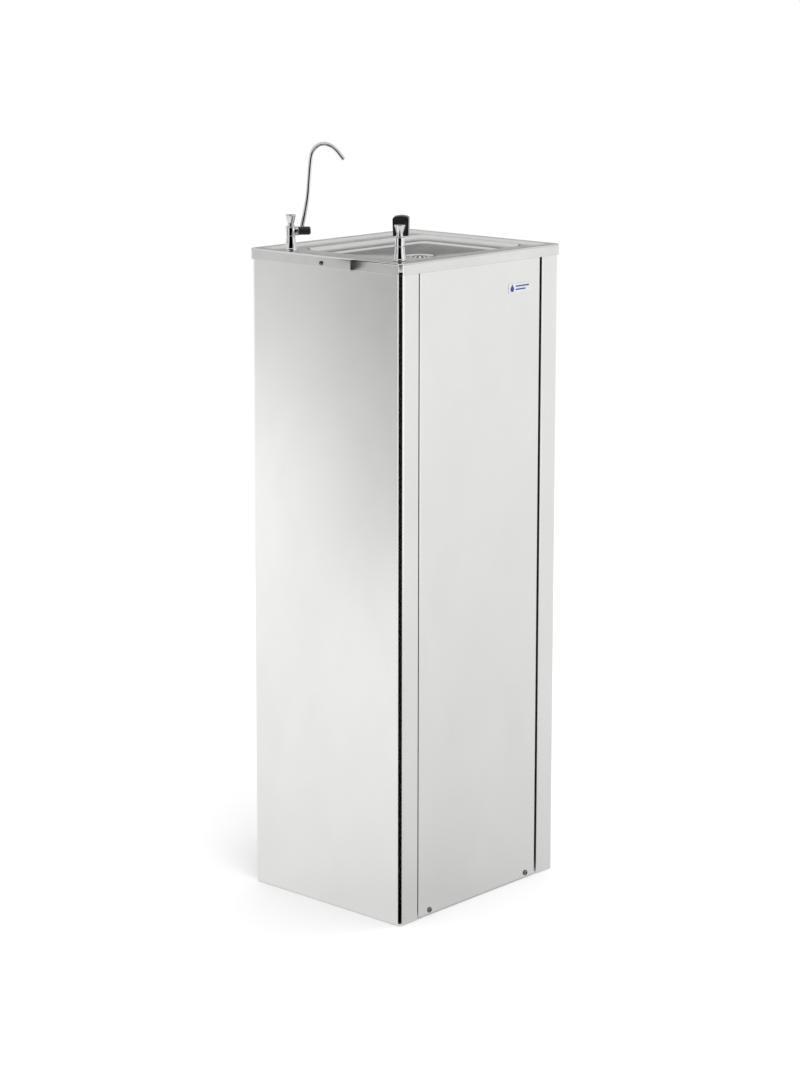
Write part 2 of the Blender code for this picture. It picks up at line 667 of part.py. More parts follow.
def filler():
    frame = tap_frame(FILLER, -SPIGOT_ANGLE)
    tap("filler", frame)
    start = SPIGOT_END + GAP
    entry = Vector((SPOUT_ENTRY[0], 0.0, SPOUT_ENTRY[1]))
    axis = spout_axis()
    adaptor = add_object("filler_adaptor", rod_mesh((start, 0, SPIGOT_Z), (0.0270, 0, SPIGOT_Z), 0.0062),
                         frame, BLACK)
    join_rod(adaptor, (0.0260, 0.0, SPIGOT_Z), (0.0284, 0.0, SPIGOT_Z), 0.0060, 0.0050)
    drill(adaptor, entry - axis * 0.0055, entry + axis * 0.0040, SPOUT_RADIUS + GAP, 16)

    foot = entry - axis * 0.0050
    bends = [(0.0206, 0.0540), (0.0250, 0.0800), (0.0275, 0.1100), (0.0300, 0.1330), (0.0345, 0.1445),
             (0.0420, 0.1505), (0.0510, 0.1515), (0.0600, 0.1480), (0.0685, 0.1400), (0.0770, 0.1290)]
    route = [foot, entry] + [Vector((x, 0.0, z)) for x, z in bends]
    local = [place - entry for place in smooth_route(route, 3)]
    spout = tube("swan_neck", local, SPOUT_RADIUS, CHROME, frame @ Matrix.Translation(entry))
    tip = local[-1]
    outward = (local[-1] - local[-2]).normalized()
    drill(spout, tip - outward * 0.006, tip + outward * 0.002, 0.0022, 12)


# Cold water and waste ----------------------------------------------------------------------

def tank_stubs():
    """Places of the pipe stubs on the tank's lid: supply, bubbler and filler."""
    x, y = TANK
    return [(x - 0.030, y), (x, y - 0.030), (x + 0.030, y + 0.015)]


def cold_tank():
    at_tank = Matrix.Translation((*TANK, 0.0))
    outer = TANK_RADIUS
    inner = TANK_RADIUS - SHEET
    shell = [(0.0, 0.695), (0.040, 0.693), (0.058, 0.686), (outer, 0.672), (outer, 0.492), (0.058, 0.480),
             (0.040, 0.475), (0.0, 0.473)]
    part = turned("cold_tank", shell, at_tank, STAINLESS)
    for x, y in tank_stubs():
        place = (x - TANK[0], y - TANK[1])
        join_rod(part, (*place, 0.680), (*place, STUB_TOP), 0.0045, sides=12)
    hollow = rod_mesh((0, 0, 0.494), (0, 0, 0.670), inner)
    combine(part, hollow, "DIFFERENCE")
    for x, y in tank_stubs():
        place = (x - TANK[0], y - TANK[1])
        drill(part, (*place, 0.660), (*place, STUB_TOP + 0.001), 0.0025, 12)

    jacket = [(JACKET_RADIUS, 0.700), (JACKET_RADIUS, SHELF_Z + GAP), (0.0, SHELF_Z + GAP), (0.0, 0.470),
              (0.078, 0.470), (0.078, 0.700)]
    foam = turned("insulation_jacket", jacket, at_tank, FOAM, sides=24)
    close_profile(foam)
    for height in (COIL_LOW, COIL_HIGH):
        drill(foam, (0.0, 0.070, height), (0.0, JACKET_RADIUS + 0.005, height), 0.0045, 12)
    lid = add_object("insulation_lid", rod_mesh((0, 0, 0.7003), (0, 0, 0.732), JACKET_RADIUS, sides=24),
                     at_tank, FOAM)
    for x, y in tank_stubs():
        place = (x - TANK[0], y - TANK[1])
        drill(lid, (*place, 0.699), (*place, 0.733), 0.0050, 12)


def close_profile(part):
    """Join the last point of a turned profile to its first."""
    mesh = part.data
    mesh.edges.add(1)
    mesh.edges[-1].vertices = (len(mesh.vertices) - 1, 0)


def evaporator_coil():
    x, y = TANK
    turns = 5
    per_turn = 10
    points = [(x, y + JACKET_RADIUS + 0.006, COIL_LOW), (x, y + COIL_RADIUS + 0.004, COIL_LOW)]
    for k in range(turns * per_turn + 1):
        angle = math.pi / 2 + 2 * math.pi * k / per_turn
        height = COIL_LOW + (COIL_HIGH - COIL_LOW) * k / (turns * per_turn)
        points.append((x + COIL_RADIUS * math.cos(angle), y + COIL_RADIUS * math.sin(angle), height))
    points.append((x, y + COIL_RADIUS + 0.004, COIL_HIGH))
    points.append((x, y + JACKET_RADIUS + 0.006, COIL_HIGH))
    tube("evaporator_coil", points, 0.0030, COPPER, resolution=1)


def water_tubes():
    supply, to_bubbler, to_filler = tank_stubs()
    start = STUB_TOP + GAP
    valve_x, valve_z = INLET_VALVE
    shank_foot = DECK_Z - SHANK_LENGTH - GAP
    run = [(valve_x, 0.1177, valve_z), (valve_x, 0.110, valve_z), (valve_x, 0.104, valve_z + 0.010),
           (valve_x, 0.106, valve_z + 0.040), (valve_x, 0.112, 0.600), (valve_x, 0.110, 0.750),
           (-0.094, 0.075, 0.785), (-0.050, 0.010, 0.785), (supply[0], supply[1], 0.765), (*supply, start)]
    tube("inlet_tube", smooth_route(run, 3), 0.0032, BLUE_TUBE, resolution=1)
    x, y = BUBBLER
    run = [(*to_bubbler, start), (*to_bubbler, 0.770), (-0.045, -0.075, 0.812), (-0.110, -0.098, 0.850),
           (x, y, 0.885), (x, y, shank_foot)]
    tube("bubbler_tube", smooth_route(run, 3), 0.0032, BLUE_TUBE, resolution=1)
    x, y = FILLER
    run = [(*to_filler, start), (*to_filler, 0.775), (-0.030, 0.055, 0.825), (-0.105, 0.098, 0.860),
           (x, y, 0.890), (x, y, shank_foot)]
    tube("filler_tube", smooth_route(run, 3), 0.0032, BLUE_TUBE, resolution=1)


def inlet_valve():
    """Brass stop valve: threaded nipple outside the back panel, quarter-turn lever inside."""
    x, z = INLET_VALVE
    frame = Matrix.Translation((x, 0.0, z))
    part = add_object("inlet_valve", rod_mesh((0, 0.1180, 0), (0, 0.1650, 0), 0.0096), frame, BRASS)
    join_rod(part, (0, 0.1446, 0), (0, 0.1490, 0), 0.0150, sides=6)
    join_rod(part, (0, 0.1200, 0), (0, 0.1420, 0), 0.0125)
    join_rod(part, (0, 0.1300, 0), (0, 0.1300, -0.0160), 0.0055)
    drill(part, (0, 0.1490, 0), (0, 0.1660, 0), 0.0070)
    drill(part, (0, 0.1170, 0), (0, 0.1500, 0), 0.0024, 12)

    below = Matrix.Translation((x, 0.130, z - 0.0163)) @ Matrix.Rotation(math.pi, 4, "X")
    lever = turned("inlet_valve_lever", [(0.0, 0.0050), (0.0050, 0.0050), (0.0050, 0.0), (0.0, 0.0)],
                   below, BLACK, sides=16)
    arm = boxes_mesh([((-0.0040, 0.0, 0.0012), (0.0040, 0.040, 0.0040))])
    combine(lever, arm, "UNION")


# Cooling machinery -------------------------------------------------------------------------

def compressor():
    x, y = COMPRESSOR
    at_foot = Matrix.Translation((x, y, 0.0))
    shell = [(0.0, 0.190), (0.030, 0.188), (0.054, 0.177), (0.067, 0.152), (0.069, 0.122), (0.073, 0.120),
             (0.073, 0.114), (0.069, 0.112), (0.069, 0.070), (0.060, 0.044), (0.035, 0.032), (0.0, 0.030)]
    part = turned("compressor", shell, at_foot, BLACK_PAINT)
    feet = boxes_mesh([((-0.062, -0.055, 0.0193), (0.062, 0.055, 0.0223))])
    combine(part, feet, "UNION")
    join_rod(part, (0, 0, 0.020), (0, 0, 0.045), 0.030, sides=20)
    join_rod(part, (0.060, 0, 0.090), (0.083, 0, 0.090), 0.0042, sides=12)
    join_rod(part, (0, 0.055, 0.140), (0, 0.082, 0.140), 0.0052, sides=12)
    for label, side in (("left", -1), ("right", 1)):
        low = (x + side * 0.054 - 0.009, y - 0.055, SHEET + GAP)
        high = (x + side * 0.054 + 0.009, y + 0.055, 0.0190)
        add_box("compressor_mount_" + label, low, high, RUBBER, bevel=0.002)
    low = (x - 0.021, y - 0.091, 0.080)
    add_box("compressor_terminal_cover", low, (x + 0.021, y - 0.0733, 0.128), BLACK, bevel=0.003)


def condenser():
    """A finned block: thin upright fins on both faces of a core, with two pipe stubs."""
    left, right = 0.017, 0.153
    foot, top = SHEET + GAP, 0.185
    fins = 18
    fin = 0.0012
    pitch = (right - left - fin) / (fins - 1)
    part = add_box("condenser", (left, 0.086, foot), (right, 0.124, top), ALUMINIUM)
    spaces = []
    for k in range(fins - 1):
        start = left + fin + pitch * k
        end = start + pitch - fin
        spaces.append(((start, 0.080, foot - 0.01), (end, 0.100, top + 0.01)))
        spaces.append(((start, 0.110, foot - 0.01), (end, 0.130, top + 0.01)))
    combine(part, boxes_mesh(spaces), "DIFFERENCE")
    for height in (0.040, 0.170):
        join_rod(part, (0.006, 0.105, height), (0.017 + fin / 2, 0.105, height), 0.0040, sides=12)


def fan():
    """Shroud with its struts, motor and blades; the fan turns about the Y axis."""
    x, z = FAN
    back = 0.0840
    front = 0.0700
    shroud = add_box("fan_shroud", (x - 0.066, front, SHEET + GAP), (x + 0.066, back, z + 0.066), GALVANISED)
    drill(shroud, (x, front - 0.002, z), (x, back + 0.002, z), 0.058, 24)
    struts = [((x - 0.064, 0.0660, z - 0.004), (x + 0.064, front + 0.0005, z + 0.004)),
              ((x - 0.004, 0.0665, z - 0.064), (x + 0.004, front + 0.0008, z + 0.064))]
    for low, high in struts:
        combine(shroud, boxes_mesh([(low, high)]), "UNION")
    drill(shroud, (x, 0.060, z), (x, front + 0.002, z), 0.0033, 16)

    motor = add_object("fan_motor", rod_mesh((x, 0.0280, z), (x, 0.0657, z), 0.022), Matrix.Identity(4),
                       BLACK_PAINT)
    join_rod(motor, (x, 0.0640, z), (x, 0.0770, z), 0.0025, sides=12)

    at_axis = aim((x, 0.0776, z), (0, 1, 0))
    blade = add_object("fan_blade", rod_mesh((0, 0, -0.0056), (0, 0, 0.0054), 0.015), at_axis, ALUMINIUM)
    drill(blade, (0, 0, -0.0070), (0, 0, 0.0010), 0.0028, 12)
    for k in range(5):
        turn = Matrix.Rotation(math.radians(72 * k), 4, "Z")
        pitch = Matrix.Rotation(math.radians(20), 4, "X")
        shape = Matrix.Translation((0.032, 0.0, 0.0)) @ pitch @ Matrix.Diagonal((0.042, 0.026, 0.0012, 1.0))
        bm = bmesh.new()
        bmesh.ops.create_cube(bm, size=1.0, matrix=turn @ shape)
        combine(blade, mesh_from(bm, "vane"), "UNION")


def refrigerant_lines():
    x, y = COMPRESSOR
    run = [(x + 0.0833, y, 0.090), (0.014, y, 0.090), (0.020, -0.008, 0.096), (0.006, 0.036, 0.124),
           (-0.010, 0.084, 0.160), (-0.009, 0.103, 0.169), (-0.002, 0.105, 0.170), (0.0057, 0.105, 0.170)]
    tube("discharge_tube", smooth_route(run, 3), 0.0030, COPPER, resolution=1)
    tank_x, tank_y = TANK
    outlet = tank_y + JACKET_RADIUS + 0.0063
    run = [(tank_x, outlet, COIL_HIGH), (tank_x, 0.104, COIL_HIGH), (0.004, 0.114, 0.637),
           (0.010, 0.118, 0.600), (0.010, 0.118, 0.300), (0.004, 0.116, 0.230), (-0.030, 0.104, 0.186),
           (-0.066, 0.084, 0.150), (x, 0.072, 0.140), (x, y + 0.0823, 0.140)]
    tube("suction_tube", smooth_route(run, 3), 0.0040, COPPER, resolution=1)

    drier = [(0.0, 0.045), (0.0040, 0.045), (0.0090, 0.036), (0.0090, -0.036), (0.0040, -0.045),
             (0.0, -0.045)]
    part = turned("filter_drier", drier, Matrix.Translation((-0.060, 0.124, 0.265)), COPPER, sides=16)
    run = [(0.0657, -0.019, -0.225), (0.058, -0.019, -0.225), (0.046, -0.008, -0.226),
           (0.020, -0.002, -0.200), (0.0, 0.0, -0.140), (0.0, 0.0, -0.040)]
    feed = tube("drier_feed", smooth_route(run, 3), 0.0030, COPPER, resolution=1)
    joined = feed.data
    bpy.data.objects.remove(feed, do_unlink=True)
    combine(part, joined, "UNION")

    run = [(-0.060, 0.124, 0.3103), (-0.060, 0.124, 0.340), (-0.058, 0.122, 0.400), (-0.034, 0.116, 0.460),
           (-0.006, 0.110, 0.500), (tank_x, 0.105, COIL_LOW), (tank_x, outlet, COIL_LOW)]
    tube("capillary_tube", smooth_route(run, 3), 0.0014, COPPER, resolution=1)


# Controls and power ------------------------------------------------------------------------

def thermostat():
    x, z = THERMOSTAT
    part = add_box("thermostat", (x - 0.020, 0.118, z - 0.016), (x + 0.020, BACK_Y - SHEET - GAP, z + 0.016),
                   WHITE_PLASTIC, bevel=0.002)
    drill(part, (x, 0.130, z), (x, BACK_Y, z), 0.0034, 16)
    knob = [(0.0, 0.0140), (0.0100, 0.0140), (0.0110, 0.0130), (0.0120, 0.0), (0.0030, 0.0),
            (0.0030, -0.0120), (0.0, -0.0120)]
    dial = turned("thermostat_knob", knob, aim((x, BACK_Y + 0.0008, z), (0, 1, 0)), BLACK, sides=24)
    grip = boxes_mesh([((-0.0022, -0.0095, 0.0130), (0.0022, 0.0095, 0.0170))])
    combine(dial, grip, "UNION")


def power_inlet():
    """Appliance inlet: flange outside the back panel and a recess with three pins."""
    x, z = POWER_INLET
    frame = Matrix.Translation((x, 0.0, z))
    low = (-0.0250, BACK_Y + GAP, -0.0140)
    part = add_box("power_inlet", low, (0.0250, BACK_Y + 0.0030, 0.0140), BLACK, frame)
    body = boxes_mesh([((-0.0135, 0.1190, -0.0100), (0.0135, BACK_Y + 0.0020, 0.0100))])
    combine(part, body, "UNION")
    recess = boxes_mesh([((-0.0118, 0.1300, -0.0082), (0.0118, BACK_Y + 0.0040, 0.0082))])
    combine(part, recess, "DIFFERENCE")
    pins = []
    for pin_x, pin_z in ((-0.007, -0.003), (0.0, 0.003), (0.007, -0.003)):
        pins.append(((pin_x - 0.0010, 0.1280, pin_z - 0.0020), (pin_x + 0.0010, 0.1395, pin_z + 0.0020)))
    combine(part, boxes_mesh(pins), "UNION")

    entry = THERMOSTAT[0] - 0.0203
    run = [(x, 0.1187, z), (x, 0.111, z), (x + 0.020, 0.104, z), (x + 0.050, 0.104, z),
           (x + 0.060, 0.116, z), (entry - 0.0057, 0.130, z), (entry, 0.130, THERMOSTAT[1])]
    tube("supply_lead", smooth_route(run, 3), 0.0028, BLACK, resolution=1)


side_panel("side_panel_left", -1)
side_panel("side_panel_right", 1)
front_panel()
back_panel()
base_tray()
tank_shelf()
screws()
badge()
basin_top()
drain()
bubbler()
filler()
cold_tank()
evaporator_coil()
water_tubes()
inlet_valve()
compressor()
condenser()
fan()
refrigerant_lines()
thermostat()
power_inlet()
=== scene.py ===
"""Looks of the free-standing drinking fountain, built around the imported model.

Metres, +Z up, front towards -Y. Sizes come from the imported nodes' boxes; every visible sheet,
tap and fitting is rebuilt here with fine edges, and every node gets a procedural finish.
"""
import json
import math

import bmesh
import bpy
from mathutils import Matrix, Vector


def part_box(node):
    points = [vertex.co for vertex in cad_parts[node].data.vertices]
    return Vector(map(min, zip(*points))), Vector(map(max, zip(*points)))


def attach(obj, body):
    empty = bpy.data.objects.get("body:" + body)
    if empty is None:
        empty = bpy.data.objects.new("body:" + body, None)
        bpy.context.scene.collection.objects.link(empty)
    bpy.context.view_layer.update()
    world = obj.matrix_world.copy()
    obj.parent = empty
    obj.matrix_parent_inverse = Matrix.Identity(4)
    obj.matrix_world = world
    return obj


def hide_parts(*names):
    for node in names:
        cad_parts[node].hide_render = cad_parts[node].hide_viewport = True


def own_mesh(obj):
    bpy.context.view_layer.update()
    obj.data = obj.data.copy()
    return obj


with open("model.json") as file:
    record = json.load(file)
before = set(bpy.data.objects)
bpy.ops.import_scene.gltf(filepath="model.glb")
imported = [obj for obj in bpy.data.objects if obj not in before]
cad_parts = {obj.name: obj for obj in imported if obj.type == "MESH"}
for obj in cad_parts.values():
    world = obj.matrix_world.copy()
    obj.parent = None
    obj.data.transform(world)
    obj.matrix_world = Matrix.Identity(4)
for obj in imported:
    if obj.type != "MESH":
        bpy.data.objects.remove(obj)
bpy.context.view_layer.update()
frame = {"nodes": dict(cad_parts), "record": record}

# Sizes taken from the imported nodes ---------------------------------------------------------
CAP_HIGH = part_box("basin_top")[1]
SIDE_LOW, SIDE_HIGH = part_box("side_panel_left")
FRONT_LOW, FRONT_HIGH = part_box("front_panel")
BACK_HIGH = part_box("back_panel")[1]
BADGE_LOW, BADGE_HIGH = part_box("badge")
DRAIN_LOW, DRAIN_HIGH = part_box("drain_body")
NIPPLE_LOW, NIPPLE_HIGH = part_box("inlet_valve")
SOCKET_LOW, SOCKET_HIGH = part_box("power_inlet")
KNOB_LOW, KNOB_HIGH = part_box("thermostat_knob")

TOP_Z = CAP_HIGH.z
DECK_Z = TOP_Z - 0.0035
CAP_HALF_X = CAP_HIGH.x
CAP_HALF_Y = CAP_HIGH.y
SIDE_X = -SIDE_LOW.x
FACE_Y = SIDE_HIGH.y
POST_X = -SIDE_HIGH.x
SHEET = 0.0012
GAP = 0.0003
CORNER_BEND = 0.0080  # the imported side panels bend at 5 mm
LIP_BEND = 0.002
LIP = 0.012
REAR_FLANGE = 0.025
SKIRT = 0.016
CAP_CORNER = 0.0065
COVER_SHIFT = 0.0009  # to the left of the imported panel: the photo's left gap is the narrower one

BOWL_X = 0.019
BOWL_HALF = (0.133, 0.104)
BOWL_CORNER = 0.022
DRAIN = Vector(((DRAIN_LOW.x + DRAIN_HIGH.x) / 2, (DRAIN_LOW.y + DRAIN_HIGH.y) / 2))
SEAT_Z = DRAIN_HIGH.z - 0.0020
DRAIN_HOLE = 0.0163


def middle(node):
    low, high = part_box(node)
    return (low + high) / 2


BUBBLER_FOOT = middle("bubbler_button")
FILLER_FOOT = middle("filler_button")
SPIGOT_ANGLE = math.atan2(0.6, 0.8)
SPIGOT_Z = 0.0275
SPIGOT_END = 0.0102
STEM_RADIUS = 0.0045
SPOUT_TILT = math.radians(12.8)
SPOUT_ENTRY = Vector((0.0165, 0.0, 0.035))

SLOT_OF = {row["node"]: row["material_slot"] for row in frame["record"]["subparts"]}
BODY_OF = {}
for body_name, members in frame["record"]["behaviour"]["bodies"].items():
    for member in members:
        BODY_OF[member] = body_name


# Materials ---------------------------------------------------------------------------------

class Finish:
    """A node material under construction, with short names for the nodes that it uses."""

    def __init__(self, name, metallic, roughness):
        self.material = bpy.data.materials.new(name)
        self.material.use_nodes = True
        self.tree = self.material.node_tree
        self.shader = self.tree.nodes["Principled BSDF"]
        self.shader.inputs["Metallic"].default_value = metallic
        self.shader.inputs["Roughness"].default_value = roughness
        self.place = self.node("ShaderNodeTexCoord").outputs["Object"]

    def node(self, kind, **settings):
        made = self.tree.nodes.new(kind)
        for key, value in settings.items():
            setattr(made, key, value)
        return made

    def link(self, source, target):
        self.tree.links.new(source, target)

    def noise(self, stretch, scale=1.0, detail=3.0, roughness=0.55, distortion=0.0):
        """Noise over object space; stretch is the size of its grain along X, Y and Z in metres."""
        mapping = self.node("ShaderNodeMapping")
        mapping.inputs["Scale"].default_value = [1.0 / size for size in stretch]
        self.link(self.place, mapping.inputs["Vector"])
        noise = self.node("ShaderNodeTexNoise")
        noise.inputs["Scale"].default_value = scale
        noise.inputs["Detail"].default_value = detail
        noise.inputs["Roughness"].default_value = roughness
        noise.inputs["Distortion"].default_value = distortion
        self.link(mapping.outputs["Vector"], noise.inputs["Vector"])
        return noise.outputs["Fac"]

    def cells(self, size, feature="F1"):
        voronoi = self.node("ShaderNodeTexVoronoi", feature=feature)
        voronoi.inputs["Scale"].default_value = 1.0 / size
        self.link(self.place, voronoi.inputs["Vector"])
        return voronoi

    def remap(self, value, low, high, from_low=0.3, from_high=0.7):
        ramp = self.node("ShaderNodeMapRange")
        ramp.inputs["From Min"].default_value = from_low
        ramp.inputs["From Max"].default_value = from_high
        ramp.inputs["To Min"].default_value = low
        ramp.inputs["To Max"].default_value = high
        self.link(value, ramp.inputs["Value"])
        return ramp.outputs["Result"]

    def add(self, first, second, operation="ADD"):
        maths = self.node("ShaderNodeMath", operation=operation)
        self.link(first, maths.inputs[0])
        self.link(second, maths.inputs[1])
        return maths.outputs["Value"]

    def colour(self, value, dark, light):
        """The base colour runs from dark to light with value."""
        mix = self.node("ShaderNodeMix", data_type="RGBA")
        mix.inputs["A"].default_value = (*dark, 1.0)
        mix.inputs["B"].default_value = (*light, 1.0)
        self.link(value, mix.inputs["Factor"])
        self.link(mix.outputs["Result"], self.shader.inputs["Base Color"])

    def roughness(self, value):
        self.link(value, self.shader.inputs["Roughness"])

    def bump(self, height, depth, strength=1.0):
        bump = self.node("ShaderNodeBump")
        bump.inputs["Strength"].default_value = strength
        bump.inputs["Distance"].default_value = depth
        self.link(height, bump.inputs["Height"])
        self.link(bump.outputs["Normal"], self.shader.inputs["Normal"])


def steel(name, dark, light, rough, grain, dent=0.0, smudge=0.015, depth=0.0012):
    """Satin stainless: fine drawn grain, faint handling smudges and, on thin pressings, dents."""
    finish = Finish(name, 1.0, rough)
    lines = finish.noise(grain, detail=4.0, roughness=0.7)
    clouds = finish.noise((0.09, 0.09, 0.14), detail=3.0, distortion=0.4)
    tone = finish.add(finish.remap(lines, 0.0, 0.3), finish.remap(clouds, 0.0, 0.7))
    finish.colour(tone, dark, light)
    wipe = finish.noise((0.035, 0.035, 0.060), detail=4.0, roughness=0.6, distortion=0.6)
    rubbed = finish.add(finish.remap(wipe, rough - smudge, rough + smudge),
                        finish.remap(lines, -0.02, 0.02))
    finish.roughness(rubbed)
    height = finish.remap(lines, 0.0, depth, 0.0, 1.0)
    if dent:
        dents = finish.noise((0.022, 0.022, 0.050), detail=2.0)
        height = finish.add(height, finish.remap(dents, 0.0, dent, 0.0, 1.0))
    finish.bump(height, 0.0010)
    return finish.material


def chrome(name):
    finish = Finish(name, 1.0, 0.05)
    marks = finish.noise((0.004, 0.004, 0.006), detail=3.0)
    finish.colour(finish.remap(marks, 0.0, 1.0), (0.64, 0.645, 0.65), (0.73, 0.735, 0.74))
    spots = finish.cells(0.0035)
    dried = finish.remap(spots.outputs["Distance"], 0.16, 0.0, 0.05, 0.16)
    finish.roughness(finish.add(finish.remap(marks, 0.03, 0.07), dried, "MAXIMUM"))
    finish.bump(marks, 0.00002, 0.4)
    return finish.material


def plain_metal(name, dark, light, rough, grain, metallic=1.0, depth=0.00003):
    """Metal with drawn or turned lines and patches of tarnish."""
    finish = Finish(name, metallic, rough)
    lines = finish.noise(grain, detail=3.0, roughness=0.65)
    patches = finish.noise((0.018, 0.018, 0.018), detail=3.0, distortion=0.5)
    finish.colour(finish.remap(patches, 0.0, 1.0), dark, light)
    finish.roughness(finish.add(finish.remap(lines, rough - 0.05, rough + 0.05),
                                finish.remap(patches, 0.05, -0.04)))
    finish.bump(lines, depth, 0.6)
    return finish.material


def galvanised():
    """Zinc spangle: flat crystals of slightly different grey."""
    finish = Finish("galvanised_steel", 0.9, 0.42)
    crystals = finish.cells(0.009)
    facets = finish.node("ShaderNodeSeparateColor")
    finish.link(crystals.outputs["Color"], facets.inputs["Color"])
    finish.colour(facets.outputs["Red"], (0.50, 0.515, 0.53), (0.57, 0.585, 0.60))
    finish.roughness(finish.remap(facets.outputs["Green"], 0.38, 0.46, 0.0, 1.0))
    fine = finish.noise((0.0015, 0.0015, 0.0015), detail=3.0)
    finish.bump(fine, 0.00004, 0.5)
    return finish.material


def plastic(name, dark, light, rough, pebble=0.0006, depth=0.00004, metallic=0.0):
    """Moulded or painted surface: fine pebbling with rubbed patches."""
    finish = Finish(name, metallic, rough)
    skin = finish.noise((pebble, pebble, pebble), detail=3.0, roughness=0.6)
    patches = finish.noise((0.012, 0.012, 0.012), detail=3.0, distortion=0.4)
    tone = finish.add(finish.remap(skin, 0.0, 0.4), finish.remap(patches, 0.0, 0.6))
    finish.colour(tone, dark, light)
    finish.roughness(finish.remap(patches, rough - 0.06, rough + 0.08))
    finish.bump(skin, depth, 0.5)
    return finish.material


def foam():
    """Cut polyurethane: open cells and yellowed patches."""
    finish = Finish("foam", 0.0, 0.9)
    bubbles = finish.cells(0.0012)
    patches = finish.noise((0.03, 0.03, 0.03), detail=3.0)
    finish.colour(finish.remap(patches, 0.0, 1.0), (0.52, 0.47, 0.32), (0.70, 0.66, 0.50))
    finish.roughness(finish.remap(patches, 0.85, 0.95))
    finish.bump(bubbles.outputs["Distance"], 0.0004, 0.5)
    return finish.material


VERTICAL = (0.0007, 0.0007, 0.060)
LONGWISE = (0.060, 0.060, 0.0007)
FINISHES = {
    "satin_stainless": steel("satin_stainless", (0.745, 0.745, 0.735), (0.785, 0.785, 0.775), 0.20, VERTICAL),
    "pressed_stainless": steel("pressed_stainless", (0.68, 0.68, 0.67), (0.76, 0.76, 0.745), 0.19,
                               (0.020, 0.020, 0.0020), dent=0.05, smudge=0.04, depth=0.001),
    "drain_stainless": steel("drain_stainless", (0.60, 0.60, 0.59), (0.74, 0.74, 0.73), 0.16,
                             (0.0010, 0.0010, 0.0010)),
    "tank_stainless": plain_metal("tank_stainless", (0.52, 0.52, 0.50), (0.64, 0.64, 0.62), 0.34, LONGWISE),
    "galvanised_steel": galvanised(),
    # The screw steel's colour is darkened to near black: painted dark reflection, standing in for the dark
    # surroundings mirrored in the domed heads.
    "screw_steel": plain_metal("screw_steel", (0.15, 0.15, 0.15), (0.26, 0.26, 0.255), 0.16,
                               (0.0008, 0.0008, 0.0008), depth=0.00001),
    "chrome": chrome("chrome"),
    "black_plastic": plastic("black_plastic", (0.006, 0.006, 0.007), (0.016, 0.016, 0.017), 0.24),
    "rubber": plastic("rubber", (0.016, 0.016, 0.016), (0.034, 0.033, 0.032), 0.78, pebble=0.0010),
    "brass": plain_metal("brass", (0.60, 0.41, 0.16), (0.78, 0.58, 0.28), 0.27, (0.0006, 0.02, 0.02)),
    "copper": plain_metal("copper", (0.62, 0.29, 0.17), (0.82, 0.47, 0.32), 0.26, (0.004, 0.004, 0.004)),
    "blue_tube": plastic("blue_tube", (0.05, 0.16, 0.46), (0.09, 0.24, 0.60), 0.34, pebble=0.0012),
    "white_plastic": plastic("white_plastic", (0.66, 0.66, 0.63), (0.78, 0.78, 0.76), 0.40, pebble=0.0012),
    "foam": foam(),
    "black_paint": plastic("black_paint", (0.010, 0.010, 0.010), (0.026, 0.026, 0.026), 0.30, pebble=0.0020),
    "aluminium": plain_metal("aluminium", (0.56, 0.57, 0.58), (0.72, 0.73, 0.74), 0.33, (0.003, 0.0006, 0.02)),
    "badge": plain_metal("badge", (0.74, 0.75, 0.76), (0.84, 0.85, 0.86), 0.24, (0.02, 0.001, 0.0004)),
}
BLUE_PRINT = plastic("blue_print", (0.010, 0.030, 0.16), (0.018, 0.050, 0.24), 0.35, pebble=0.0008)
WHITE_PRINT = plastic("white_print", (0.72, 0.74, 0.76), (0.84, 0.85, 0.86), 0.35, pebble=0.0008)


# Shapes ------------------------------------------------------------------------------------

def mesh_of(bm, smooth=32):
    bmesh.ops.recalc_face_normals(bm, faces=bm.faces)
    mesh = bpy.data.meshes.new("shape")
    bm.to_mesh(mesh)
    bm.free()
    mesh.shade_smooth()
    mesh.set_sharp_from_angle(angle=math.radians(smooth))
    return mesh


def piece(name, mesh, nodes, matrix=Matrix.Identity(4), finish=None, slot=None, body=None, bevel=0.0):
    """A visible piece on the body of the first of its nodes; it stands for all of them."""
    made = bpy.data.objects.new(name, mesh)
    bpy.context.scene.collection.objects.link(made)
    made.matrix_world = matrix
    slot = slot or SLOT_OF[nodes[0]]
    mesh.materials.clear()
    mesh.materials.append(finish or FINISHES[slot])
    if bevel:
        rounding = made.modifiers.new("edges", "BEVEL")
        rounding.width = bevel
        rounding.segments = 2
        rounding.limit_method = "ANGLE"
        rounding.angle_limit = math.radians(40)
        rounding.harden_normals = True
    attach(made, body or BODY_OF[nodes[0]])
    if nodes:
        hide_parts(*nodes)
    return made


def corner_arc(before, corner, after, bend, steps):
    """Points of the arc that rounds one corner of a polyline."""
    back = (before - corner).normalized()
    ahead = (after - corner).normalized()
    half = back.angle(ahead) / 2
    reach = bend / math.tan(half)
    first = corner + back * reach
    last = corner + ahead * reach
    centre = corner + (back + ahead).normalized() * bend / math.sin(half)
    spread = math.pi - 2 * half
    arc = []
    for k in range(steps + 1):
        t = k / steps
        near = math.sin((1 - t) * spread) / math.sin(spread)
        far = math.sin(t * spread) / math.sin(spread)
        arc.append(centre + (first - centre) * near + (last - centre) * far)
    return arc


def soften(points, steps=4, closed=False):
    """A polyline of (x, y) or (x, y, bend) points with each stated bend rounded off."""
    count = len(points)
    places = [Vector(point[:2]) for point in points]
    bends = [point[2] if len(point) > 2 else 0.0 for point in points]
    path = []
    for i in range(count):
        inner = closed or 0 < i < count - 1
        if bends[i] and inner:
            path += corner_arc(places[i - 1], places[i], places[(i + 1) % count], bends[i], steps)
        else:
            path.append(places[i])
    return path


